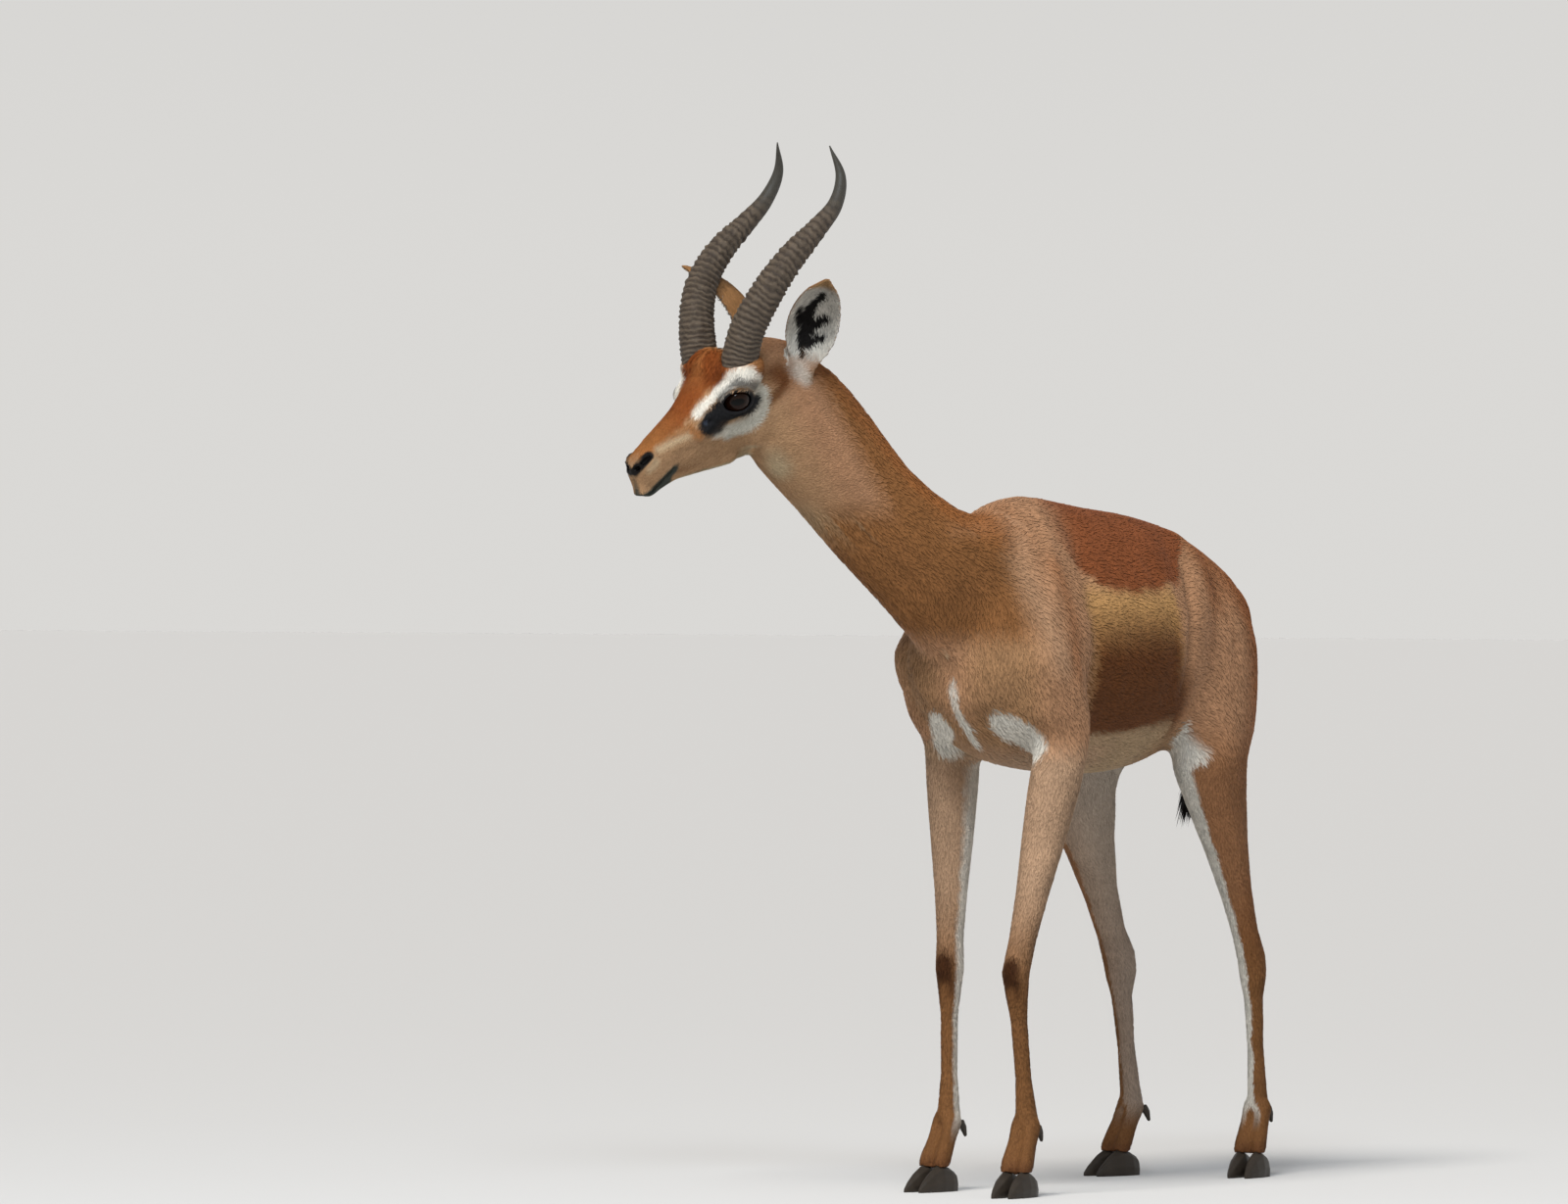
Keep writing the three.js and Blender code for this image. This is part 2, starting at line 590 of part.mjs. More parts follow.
function buildAll() {
  const nodes = new Map();
  const horns = { horn_left: LEFT, horn_right: RIGHT };

  let head = skull();
  for (const hand of [LEFT, RIGHT]) {
    head = lidded(head, hand).subtract(nostril(hand)).subtract(horn(hand, GAP));
  }
  head = onHead(head.subtract(mouth()));

  const ears = Object.values(EARS).map((e) => onHead(ear(e)));
  const flesh = [trunk(), neck(), head, ...ears, tail()];
  for (const row of Object.values(LEGS)) flesh.push(leg(row), pastern(row, 1), pastern(row, -1));
  let whole = join(flesh).trimByPlane([0, 0, 1], 0);

  // Horn, eye, hoof and dewclaw each sit in a seat of their own shape.
  for (const [name, hand] of Object.entries(horns)) {
    nodes.set(name, onHead(horn(hand)));
    whole = whole.subtract(onHead(horn(hand, GAP)));
  }
  for (const [name, hand] of Object.entries({ eye_left: LEFT, eye_right: RIGHT })) {
    nodes.set(name, onHead(eyeball(hand)));
    whole = whole.subtract(onHead(eyeball(hand, GAP)));
  }
  for (const [name, row] of Object.entries(LEGS)) {
    for (const [side, share] of [["outer", row.joints[0][1] > 0 ? 1 : -1], ["inner", row.joints[0][1] > 0 ? -1 : 1]]) {
      nodes.set(`${name}_hoof_${side}`, hoof(row, share));
      nodes.set(`${name}_dewclaw_${side}`, dewclaw(row, share));
      whole = whole.subtract(hoof(row, share, GAP)).subtract(dewclaw(row, share, GAP));
    }
  }

  // Thin cuts part the flesh where one would name its parts.
  const cuts = [
    knife([372, -14, 806], [0.86, -0.2, 0.47], [0, 1, 0], [420, 420]),
    knife([582, -118, 1000], [0.62, -0.33, 0.71], [0, 1, 0], [260, 260]),
    knife([-366, -8, 716], [-0.35, -0.15, -0.92], [0, 1, 0], [42, 42]),
    ...Object.values(EARS).map((e) => {
      const at = vec(e.root).addScaledVector(vec(e.towards).normalize(), 40);
      return knife(headPoint(at.toArray()).toArray(), headWay(e.towards).toArray(), [1, 0, 0], [66, 66]);
    }),
    ...[LEFT, RIGHT].map((hand) => knife([235, hand * 92, 586], [0, hand * 0.79, -0.61], [1, 0, 0], [400, 190])),
    ...[LEFT, RIGHT].map((hand) => knife([-140, hand * 80, 588], [-0.28, hand * 0.6, -0.75], [1, 0, 0], [384, 200])),
  ];
  const pieces = whole.subtract(join(cuts)).decompose();
  const anchors = {
    trunk: [0, 0, 700],
    neck: [462, -55, 874],
    head: headPoint([40, 0, 0]).toArray(),
    tail: [-376, -24, 652],
    ...Object.fromEntries(Object.entries(LEGS).map(([name, row]) => [name, row.joints[3]])),
  };
  for (const [name, e] of Object.entries(EARS)) {
    const way = vec(e.towards).normalize();
    const front = vec(e.opening).addScaledVector(way, -vec(e.opening).dot(way)).normalize();
    const inWall = vec(e.root).addScaledVector(way, 70).addScaledVector(front, -28);
    anchors[name] = headPoint(inWall.toArray()).toArray();
  }
  for (const [name, at] of Object.entries(anchors)) {
    const probe = ball(at, [4, 4, 4], [0, 0, 0], 8);
    nodes.set(name, pieces.find((piece) => piece.intersect(probe).volume() > 0).simplify(SMOOTH));
  }
  return nodes;
}

const FINISH = {
  coat: { color: 0x9a6a44, roughness: 0.8 },
  horn: { color: 0x4a4038, roughness: 0.6 },
  eye: { color: 0x0c0807, roughness: 0.08 },
  hoof: { color: 0x1c1815, roughness: 0.45 },
};

const group = new THREE.Group();
for (const [name, made] of buildAll()) {
  const kind = name.includes("hoof") || name.includes("claw") ? "hoof" : name.split("_")[0];
  const finish = FINISH[kind] ?? FINISH.coat;
  const material = new THREE.MeshStandardMaterial({ ...finish, metalness: 0 });
  const mesh = new THREE.Mesh(geometryOf(made), material);
  mesh.name = name;
  group.add(mesh);
}
group.position.set(-MIDDLE.x, -MIDDLE.y, 0);

export default group;
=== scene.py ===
"""The looks of a standing male gerenuk: skin, coat, horns, eyes and hooves.

Tables are in millimetres in the animal's own place, with the ground point below its shoulders
at zero, +X forward, +Y to its left and +Z up. Tables for the head are in its own frame, from the
point midway between the eyes: forward, out from the middle, up. Meshes are in metres in the
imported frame.
"""

import math

import bmesh
import bpy
import numpy as np
from mathutils import Matrix, Vector
from mathutils.bvhtree import BVHTree


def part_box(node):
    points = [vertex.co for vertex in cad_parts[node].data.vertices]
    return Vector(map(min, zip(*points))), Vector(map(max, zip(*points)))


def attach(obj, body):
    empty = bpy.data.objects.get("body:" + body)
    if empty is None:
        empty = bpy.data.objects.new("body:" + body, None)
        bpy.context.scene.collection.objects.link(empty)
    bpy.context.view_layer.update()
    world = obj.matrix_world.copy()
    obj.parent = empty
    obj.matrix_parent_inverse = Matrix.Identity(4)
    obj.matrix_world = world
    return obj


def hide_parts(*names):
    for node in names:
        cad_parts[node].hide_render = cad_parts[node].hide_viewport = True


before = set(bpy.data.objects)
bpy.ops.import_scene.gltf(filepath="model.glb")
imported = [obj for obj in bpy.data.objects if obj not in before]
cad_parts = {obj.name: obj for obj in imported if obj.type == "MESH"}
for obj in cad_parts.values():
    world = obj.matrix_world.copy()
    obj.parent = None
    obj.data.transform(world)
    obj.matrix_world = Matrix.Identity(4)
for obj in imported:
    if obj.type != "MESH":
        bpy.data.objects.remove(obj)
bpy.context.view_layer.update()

MM = 1000  # in a metre
MIDDLE = np.array([213.0, -62.0, 0.0])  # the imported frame's zero, in the animal's own place
HEAD_CENTRE = np.array([680.0, -162.0, 1010.0])
HEAD_TURN, HEAD_DROP, HEAD_ROLL = math.radians(-20), math.radians(29), math.radians(-4)
HEAD_WAY = np.array(
    (
        Matrix.Rotation(HEAD_TURN, 3, "Z")
        @ Matrix.Rotation(HEAD_DROP, 3, "Y")
        @ Matrix.Rotation(HEAD_ROLL, 3, "X")
    )
)
EYE = {"place": (-12.0, 29.5, 7.0), "radius": 21.5, "way": (0.42, 0.88, 0.1), "slant": (0.94, 0, 0.3)}
HORN_LINE = [
    (-24, 33, 26), (-36, 40, 53), (-56, 50, 85), (-84, 62, 111), (-117, 69, 131),
    (-157, 71, 145), (-199, 70, 154), (-241, 68, 166), (-270, 61, 191), (-278, 51, 230),
]
HORN_THICK = [22.5, 24.5, 23.6, 22.2, 20.0, 17.1, 13.6, 10.2, 6.9, 0.8]
EARS = {
    "ear_left": {
        "root": (-114, 36, -22), "towards": (-0.34, 0.41, 0.84), "opening": (0.55, 0.8, 0.05), "long": 152,
    },
    "ear_right": {
        "root": (-114, -36, -12), "towards": (-0.1, -0.47, 0.94), "opening": (0.75, -0.6, 0.1), "long": 166,
    },
}
NECK_LINE = [
    (236, 0, 748), (312, -6, 782), (386, -20, 822), (462, -55, 878), (526, -88, 943), (573, -112, 990),
]
NAPE = np.array([560.0, -106.0, 975.0])
NECK_WAY = np.array([0.621, -0.331, 0.711])
NECK_UP = np.array([-0.66, 0.27, 0.70])
TAIL_LINE = [
    (-306, 0, 752, 19), (-344, -2, 744, 14), (-371, -10, 706, 10),
    (-376, -24, 652, 7.5), (-368, -40, 600, 6), (-352, -56, 552, 5),
]
TAIL_PATH = np.array(TAIL_LINE)[:, :3]
LEGS = {
    "foreleg_left": [(276, 96, 684), (240, 94, 588), (342, 82, 285), (306, 78, 94), (340, 80, 30)],
    "foreleg_right": [(266, -96, 690), (208, -91, 588), (230, -82, 285), (236, -80, 94), (270, -82, 30)],
    "hindleg_left": [(-188, 72, 716), (-150, 86, 545), (-267, 87, 281), (-289, 84, 95), (-255, 90, 30)],
    "hindleg_right": [(-152, -62, 716), (-69, -79, 545), (-206, -81, 281), (-236, -78, 95), (-200, -88, 30)],
}
FLESH = ["trunk", "neck", "head", "ear_left", "ear_right", *LEGS]

# The grain of the meshes in metres, and how many faces and tufts they may have.
COARSE_GRAIN, FINE_GRAIN, HOOF_GRAIN = 0.004, 0.0016, 0.0011
BODY_FACES, SKIN_FACES = 78000, 194000
MOST_TUFTS = 32500
SWELL_BACK = 0.53  # the step that keeps an evened form from shrinking
HEAD_BACK = -165  # where the head's own fine forms end

# Finishes, as the share of red, green and blue light that each throws back.
FAWN = (0.325, 0.172, 0.092)
SADDLE = (0.185, 0.058, 0.021)
GOLD = (0.42, 0.235, 0.092)
FLANK = (0.098, 0.034, 0.010)
RUMP = (0.225, 0.074, 0.021)
NECK = (0.185, 0.080, 0.028)
NAPE_RED = (0.235, 0.088, 0.027)
THROAT = (0.40, 0.31, 0.19)
CHEST = (0.255, 0.14, 0.068)
WHITE = (0.52, 0.49, 0.43)
# The belly's white, painted darker and warmer as the shade under the body.
SHADED_BELLY = (0.31, 0.215, 0.125)
LEG = (0.33, 0.21, 0.13)
LEG_LOW = (0.16, 0.072, 0.027)
HAUNCH = (0.19, 0.08, 0.031)
KNEE = (0.042, 0.016, 0.006)
TAIL_BROWN = (0.12, 0.05, 0.02)
BLACK = (0.008, 0.007, 0.0065)
BLAZE = (0.19, 0.05, 0.012)
TUFT_RED = (0.14, 0.036, 0.009)
ORANGE = (0.29, 0.115, 0.036)
PALE = (0.52, 0.40, 0.25)
CHEEK = (0.34, 0.20, 0.105)
TEMPLE = (0.11, 0.036, 0.010)
FACE_WHITE = (0.68, 0.64, 0.56)
EYE_RING = (0.45, 0.42, 0.35)
LID_GREY = (0.17, 0.165, 0.15)
BARE_BLACK = (0.012, 0.012, 0.013)
# A bluish spot in the middle of the gland: a painted highlight on its wet surface.
PAINTED_GLAND_GLINT = (0.05, 0.06, 0.085)
LIP = (0.05, 0.055, 0.045)
EAR_BACK = (0.25, 0.125, 0.05)
EAR_RIM = (0.42, 0.25, 0.12)
EAR_WHITE = (0.56, 0.53, 0.47)


# Places and shares.

def unit(v):
    """Ways of length one."""
    v = np.asarray(v, float)
    return v / np.maximum(np.linalg.norm(v, axis=-1, keepdims=True), 1e-9)


def to_animal(p):
    return p * MM + MIDDLE


def to_frame(a):
    return (a - MIDDLE) / MM


def to_head(a):
    return (a - HEAD_CENTRE) @ HEAD_WAY


def from_head(h):
    return np.asarray(h, float) @ HEAD_WAY.T + HEAD_CENTRE


def ramp(x, low, high):
    """0 below low, 1 above high, with a smooth rise between."""
    t = np.clip((x - low) / (high - low), 0, 1)
    return t * t * (3 - 2 * t)


def hill(x, width):
    """1 at zero, and less on both sides."""
    return np.exp(-((x / width) ** 2))


def ripple(a, size, seed):
    """Smooth unevenness from about -1 to 1, with features of the given size."""
    draw = np.random.default_rng(seed)
    total = 0
    for _ in range(7):
        way = unit(draw.normal(size=3)) * draw.uniform(0.6, 1.5) * 2 * math.pi / size
        total = total + np.sin(a @ way + draw.uniform(0, 6.28))
    return total / 3.2


def near_line(a, line):
    """Distance of each point to a line of straight stretches, and the share of the way along it."""
    line = np.asarray(line, float)
    if len(line) == 1:
        return np.linalg.norm(a - line[0], axis=1), np.zeros(len(a))
    steps = np.linalg.norm(np.diff(line, axis=0), axis=1)
    best = np.full(len(a), 1e9)
    along = np.zeros(len(a))
    run = 0
    for start, end, step in zip(line[:-1], line[1:], steps):
        t = np.clip((a - start) @ (end - start) / step**2, 0, 1)
        far = np.linalg.norm(a - start - t[:, None] * (end - start), axis=1)
        closer = far < best
        best = np.where(closer, far, best)
        along = np.where(closer, (run + t * step) / steps.sum(), along)
        run += step
    return best, along


def by(a, line, half, soft):
    """1 on a band of the given half width along a line, fading out over twice the softness."""
    return ramp(-near_line(a, line)[0], -half - soft, -half + soft)


def both_sides(a):
    """The same places, with the right side folded over to the left."""
    return a * [1, 0, 1] + np.abs(a) * [0, 1, 0]


def leg_share(a):
    """How far each point belongs to a leg below the elbow or stifle."""
    best = np.full(len(a), 1e9)
    for line in LEGS.values():
        best = np.minimum(best, near_line(a, line[1:])[0])
    return ramp(600 - a[:, 2], 0, 90) * ramp(-best, -75, -45)


def head_share(a, h):
    on_ear = ear_shares(h, np.zeros(h.shape))[0]
    return np.maximum(ramp(h[:, 0], -150, -112) * ramp(a[:, 2], 860, 900), on_ear * (a[:, 2] > 900))


def neck_share(a):
    far, along = near_line(a, NECK_LINE)
    return ramp(-far, -135, -118) * ramp(along, 0.26, 0.5)


def hand_of(name):
    """1 for a piece on the left, -1 for one on the right."""
    return 1 if "left" in name else -1


def ear_place(h, name):
    """Share of the way up an ear, then distance across it and in front of its line, in its own frame."""
    row = EARS[name]
    axis, opening = unit(row["towards"]), np.array(row["opening"])
    front = unit(opening - axis * (axis @ opening))
    side = np.cross(axis, front) * hand_of(name)
    q = h - np.array(row["root"], float)
    t = q @ axis / row["long"]
    return t, q @ side, q @ front - 16 * t * t, (axis, front, side)


def ear_shares(h, n_head):
    """For each point: how far it is on an ear, how far inside its cup, and its ear place."""
    on, inside = np.zeros(len(h)), np.zeros(len(h))
    place = np.zeros((len(h), 3))
    for name, row in EARS.items():
        t, across, ahead, (_, front, side) = ear_place(h, name)
        reach = np.interp(t, [0.06, 0.12, 0.25, 0.4, 0.6, 0.9, 1.12], [18, 22, 32, 42, 44, 38, 24])
        here = (t > 0.06) & (t < 1.12) & (np.hypot(across, ahead) < reach)
        here &= h[:, 1] * hand_of(name) > 18
        outward = unit(across[:, None] * side + ahead[:, None] * front)
        facing = (n_head * outward).sum(1)
        on = np.where(here, ramp(t, 0.12, 0.26), on)
        inside = np.where(here, ramp(-facing, -0.35, 0.25) * ramp(t, 0.08, 0.2), inside)
        place[here] = np.stack([t * row["long"], across, ahead], 1)[here]
    return on, inside, place


# Mesh work.

def points_of(mesh):
    flat = np.empty(len(mesh.vertices) * 3, np.float32)
    mesh.vertices.foreach_get("co", flat)
    return flat.reshape(-1, 3).astype(float)


def normals_of(mesh):
    flat = np.empty(len(mesh.vertices) * 3, np.float32)
    mesh.vertices.foreach_get("normal", flat)
    return flat.reshape(-1, 3).astype(float)


def put_points(mesh, p):
    mesh.vertices.foreach_set("co", np.asarray(p, np.float32).ravel())
    mesh.update()


def relax(mesh, share, rounds, back=0.0):
    """Evens a mesh out. With back, each round swells it again by that step, so it doesn't shrink."""
    p = points_of(mesh)
    flat = np.empty(len(mesh.edges) * 2, np.int32)
    mesh.edges.foreach_get("vertices", flat)
    i, j = flat.reshape(-1, 2).T
    moving = share > 0.002
    kept = moving[i] | moving[j]
    used, flat = np.unique(np.concatenate([i[kept], j[kept]]), return_inverse=True)
    i, j = flat.reshape(2, -1)
    q, freedom = p[used], share[used, None]
    count = np.maximum(np.bincount(flat.ravel(), minlength=len(q)), 1)[:, None]
    for _ in range(rounds):
        for step in [0.5, -back] if back else [0.5]:
            near = [np.bincount(i, q[j, k], len(q)) + np.bincount(j, q[i, k], len(q)) for k in range(3)]
            q += (np.stack(near, 1) / count - q) * freedom * step
    p[used] = q
    put_points(mesh, p)


def piece(name, data):
    """A mesh, a light or a camera, put in the scene."""
    made = bpy.data.objects.new(name, data)
    bpy.context.scene.collection.objects.link(made)
    return made


def finished(name, mesh, material, replaced=()):
    """A piece of the animal with its finish, in the body's frame."""
    made = piece(name, mesh)
    mesh.materials.clear()
    mesh.materials.append(material)
    mesh.polygons.foreach_set("use_smooth", np.ones(len(mesh.polygons), bool))
    if replaced:
        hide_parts(*replaced)
    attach(made, "root")


def with_modifier(mesh, kind, groups=None, **settings):
    """The mesh that a modifier makes of this one, by a share at each point where that is given."""
    working = piece("working", mesh)
    modifier = working.modifiers.new("work", kind)
    if groups is not None:
        working.vertex_groups.clear()
        group = working.vertex_groups.new(name="share")
        for level in np.unique(groups):
            group.add(np.flatnonzero(groups == level).tolist(), float(level), "REPLACE")
        modifier.vertex_group = "share"
    for key, value in settings.items():
        setattr(modifier, key, value)
    bpy.context.view_layer.update()
    seen = working.evaluated_get(bpy.context.evaluated_depsgraph_get())
    made = bpy.data.meshes.new_from_object(seen)
    bpy.data.objects.remove(working)
    return made


def remeshed(mesh, grain):
    return with_modifier(mesh, "REMESH", mode="VOXEL", voxel_size=grain)


def thinned(mesh, where, share):
    """The mesh in triangles, with only a share of them kept, lost from where it may be thinned."""
    return with_modifier(mesh, "DECIMATE", groups=where, ratio=share, use_collapse_triangulate=True)


def mesh_of(name, bm):
    mesh = bpy.data.meshes.new(name)
    bm.to_mesh(mesh)
    bm.free()
    return mesh


def gathered(name, meshes):
    """One mesh of several, each merged along its edges and swollen by its own few tenths."""
    whole = bmesh.new()
    for mesh, swell in meshes:
        part = bmesh.new()
        part.from_mesh(mesh)
        bmesh.ops.remove_doubles(part, verts=part.verts, dist=2e-6)
        part.normal_update()
        for v in part.verts:
            v.co += v.normal * swell / MM
        merged = mesh_of("merged", part)
        whole.from_mesh(merged)
        bpy.data.meshes.remove(merged)
    return mesh_of(name, whole)


def curve_points(line, count):
    """Points and radii spread evenly by number along a smooth curve through the given stations."""
    line = np.asarray(line, float)
    padded = np.vstack([2 * line[0] - line[1], line, 2 * line[-1] - line[-2]])
    t = np.linspace(0, len(line) - 1, count)
    k = np.minimum(t.astype(int), len(line) - 2)
    u = (t - k)[:, None]
    a, b, c, d = (padded[k + n] for n in range(4))
    return 0.5 * (2 * b + (c - a) * u + (2 * a - 5 * b + 4 * c - d) * u**2 + (3 * b - a - 3 * c + d) * u**3)


def tube(name, centres, radii, sides, flatten=1.0, across=(0, 1, 0)):
    """A closed round bar along a line, extruded ring by ring."""
    bm = bmesh.new()
    order = bmesh.ops.create_circle(bm, segments=sides, radius=1, cap_ends=True)["verts"]
    across = np.asarray(across, float)
    ways = unit(np.gradient(centres, axis=0))
    rounds = [(math.cos(2 * math.pi * s / sides), math.sin(2 * math.pi * s / sides)) for s in range(sides)]
    edges = list(bm.faces[:][0].edges)
    for ring, (centre, way, radius) in enumerate(zip(centres, ways, radii)):
        side = unit(across - way * (way @ across))
        up = np.cross(way, side)
        if ring:
            made = bmesh.ops.extrude_edge_only(bm, edges=edges)["geom"]
            fresh = {g for g in made if isinstance(g, bmesh.types.BMVert)}
            order = [next(e.other_vert(v) for e in v.link_edges if e.other_vert(v) in fresh) for v in order]
            edges = [e for e in made if isinstance(e, bmesh.types.BMEdge) and fresh.issuperset(e.verts)]
        for v, (c, s) in zip(order, rounds):
            v.co = centre + side * radius * flatten * c + up * radius * s
    bmesh.ops.contextual_create(bm, geom=order)
    bmesh.ops.recalc_face_normals(bm, faces=bm.faces)
    return mesh_of(name, bm)


# The forms of muscle, bone and tendon: a line, its half width, and how far it swells or sinks.
# These are the same on both sides.
BODY_FORMS = [
    ([(208, 40, 880), (238, 78, 820), (290, 106, 745)], 11, 2.8),
    ([(262, 34, 884), (318, 80, 800), (346, 92, 720)], 12, -3.2),
    ([(165, 60, 872), (178, 104, 800), (186, 116, 720), (205, 112, 650)], 13, -4.0),
    ([(322, 100, 676), (316, 108, 660)], 22, 3.5),
    ([(215, 112, 705), (246, 118, 660)], 28, 3.2),
    ([(232, 108, 612)], 15, 3.0),
    ([(262, 118, 700), (290, 112, 640)], 9, -1.8),
    ([(294, 12, 888), (276, 34, 872), (262, 58, 850)], 3.6, -3.4),
    ([(286, 14, 893), (268, 38, 878), (252, 60, 858)], 4.5, 1.6),
    ([(24, 100, 800), (-3, 122, 720), (12, 108, 640)], 13, -1.6),
    ([(-60, 88, 822), (-42, 106, 785)], 24, -5.0),
    ([(-122, 62, 850), (-130, 76, 834)], 15, 4.0),
    ([(-92, 92, 830), (-64, 114, 765), (-42, 122, 700), (-34, 118, 645)], 9, -5.0),
    ([(-130, 100, 810), (-100, 122, 730), (-90, 116, 650)], 24, 3.0),
    ([(-270, 62, 790), (-262, 84, 700), (-225, 92, 600)], 9, -2.4),
    ([(-160, 96, 800), (-172, 116, 710), (-140, 112, 630)], 11, -1.8),
    ([(352, 0, 640), (330, 0, 598), (290, 0, 568), (250, 0, 552)], 10, 2.4),
    ([(348, 26, 650), (326, 34, 600), (290, 36, 566)], 9, -2.4),
    ([(376, -5, 697)], 5, 4.5),
    ([(378, -4, 706), (356, 34, 722)], 4, -2.0),
    ([(150, 0, 905), (0, 0, 885), (-150, 0, 860)], 11, 1.2),
]
BODY_FORMS += [([(x, 92, 815), (x - 12, 118, 725), (x, 110, 645)], 7, 0.9) for x in (48, 76, 104, 132)]

# On each leg: the bone, the shares of its length, how far ahead and out, half width and swelling.
LEG_FORMS = {
    "fore": [
        (3, (0.0,), 17, 0, 13, 1.8), (3, (0.02,), -20, 0, 8, 2.2),
        (3, (0.14, 0.86), -4, 11, 3.4, -1.5), (3, (0.14, 0.86), -4, -11, 3.4, -1.5),
        (2, (0.4, 0.92), -8, 20, 5, -1.4), (2, (0.2, 0.6), 10, 26, 8, 1.5),
    ],
    "hind": [
        (2, (0.5, 0.97), -12, 15, 6, -3.4), (2, (0.5, 0.97), -12, -15, 6, -3.4), (3, (0.0,), -28, 0, 10, 3.0),
        (3, (0.12, 0.86), -4, 12, 3.6, -1.5), (3, (0.12, 0.86), -4, -12, 3.6, -1.5),
        (3, (0.05,), 14, 8, 7, 1.2), (1, (0.9, 1.0), 60, 8, 16, 3.0),
    ],
}

# On the head: cheek bone, temple, bridge, jaw, nostril, lip, gland and ear root.
HEAD_FORMS = [
    ([(58, 26, -12), (20, 34, -27), (-10, 38, -35)], 6, 1.5),
    ([(-34, 47, -7), (-62, 46, -4), (-88, 42, -4)], 7, 1.6),
    ([(-52, 40, -27), (-76, 40, -22)], 9, -1.8),
    ([(-62, 40, 22)], 14, -2.0),
    ([(20, 18, 38), (70, 15, 24), (112, 12, 16)], 5, 0.9),
    ([(44, 28, -22), (84, 22, -16)], 11, -1.8),
    ([(10, 30, -34), (2, 30, -52), (-2, 26, -68)], 5, -1.2),
    ([(100, 14, -45), (50, 16, -58), (0, 22, -74), (-34, 28, -80)], 5, 1.0),
    ([(152, 13, 7), (140, 19, 11), (126, 19, 7)], 4, 1.7),
    ([(153, 13, -9), (141, 20, -4), (128, 20, 0)], 3.4, 1.2),
    ([(157, 6, -6), (150, 12, -1), (142, 16, 3), (132, 18, 4.5)], 2.7, -1.6),
    ([(165, 0, -8), (165, 0, -36)], 1.7, -1.6),
    ([(42, 30, 2), (36, 32, 3)], 2.8, -2.8),
    ([(50, 28, 6), (42, 30, 10), (34, 34, 9)], 3, 1.2),
    ([(50, 28, -4), (42, 30, -7), (33, 33, -4)], 3, 1.2),
    ([(-34, 34, -62), (-62, 38, -42), (-86, 40, -26)], 8, -2.4),
    ([(28, 31, -22), (60, 27, -24), (84, 22, -28)], 1.8, 0.7),
    ([(60, 27, -24), (74, 25, -12), (96, 22, -6)], 1.6, 0.6),
    ([(-96, 44, -30), (-112, 46, -34)], 12, 2.0),
]
MOUTH = [(103, -28.5), (118, -32.5), (134, -37.5), (148, -42), (170, -45)]


def eye_place(h):
    """Places about an eye: share of the opening's size, height above its long line, distance out."""
    way, slant = unit(EYE["way"]), np.array(EYE["slant"])
    slant = unit(slant - way * (way @ slant))
    rise = np.cross(slant, way)
    q = h - np.array(EYE["place"])
    return np.hypot(q @ slant / 20, q @ rise / 12.5), q @ rise, q @ way, np.linalg.norm(q, axis=1)


def swelling(a, h):
    """How far the skin stands out or sinks for the forms under it, in millimetres."""
    m, hm = both_sides(a), both_sides(h)
    on_head = head_share(a, h)
    rise = np.zeros(len(a))
    for line, half, height in BODY_FORMS:
        rise += hill(near_line(m, line)[0], half * 1.2) * height * 1.3 * (1 - on_head)
    for name, joints in LEGS.items():
        joints = np.array(joints, float)
        hand = hand_of(name)
        for bone, shares, ahead, out, half, height in LEG_FORMS[name[:4]]:
            top, stretch = joints[bone], joints[bone + 1] - joints[bone]
            line = [top + t * stretch + [ahead, hand * out, 0] for t in shares]
            rise += hill(near_line(a, line)[0], half) * height
    near = on_head > 0.5
    hn = hm[near]
    face = np.zeros(len(hn))
    for line, half, height in HEAD_FORMS:
        face += hill(near_line(hn, line)[0], half) * height
    line_x, line_z = np.array(MOUTH, float).T
    drop = hn[:, 2] - np.interp(hn[:, 0], line_x, line_z)
    mouth = ramp(hn[:, 0], 100, 106) * (hn[:, 2] < -20)
    face += mouth * (hill(drop, 1.7) * -3.2 + hill(drop - 5, 3) * 1.1 + hill(drop + 4.5, 2.6) * 0.6)
    share, above, out, far = eye_place(hn)
    lid = ramp(out, 2, 8) * ramp(-far, -46, -40)
    upper = ramp(above, -2, 3)
    face += lid * (hill(share - 1.12, 0.12) * 1.3 + hill(share - 1.42, 0.09) * -1.5 * upper)
    face += lid * (hill(share - 1.62, 0.1) * 1.0 * upper + hill(share - 1.36, 0.1) * -0.8 * (1 - upper))
    face += lid * hill(share - 1.85, 0.07) * -0.5 * upper
    rise[near] += face
    neck = neck_share(a) * (1 - on_head)
    return rise, neck


# The skin.

tail_curve = curve_points(TAIL_LINE, 40)
tail_mesh = tube("tail_dock", to_frame(tail_curve[:, :3]), tail_curve[:, 3] / MM, 14)
solids = {name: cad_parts[name].data for name in FLESH}
coarse = gathered("coarse", [(solids[n], 0.25) for n in ["trunk", "neck", "head", *LEGS]] + [(tail_mesh, 0)])
coarse = remeshed(coarse, COARSE_GRAIN)
a = to_animal(points_of(coarse))
leg = leg_share(a)
tail_share = ramp(-near_line(a, TAIL_PATH[1:])[0], -30, -18)
soft = (1 - leg) * (1 - tail_share) * ramp(-to_head(a)[:, 0], 90, 190)
relax(coarse, soft, 55)
relax(coarse, 0.15 + 0.85 * (1 - soft) * leg, 12, back=SWELL_BACK)

bm = bmesh.new()
bm.from_mesh(coarse)
bmesh.ops.bisect_plane(
    bm, geom=bm.verts[:] + bm.edges[:] + bm.faces[:], plane_co=to_frame(NAPE),
    plane_no=NECK_WAY, clear_outer=True,
)
bmesh.ops.holes_fill(bm, edges=[e for e in bm.edges if e.is_boundary])
bm.to_mesh(coarse)
bm.free()

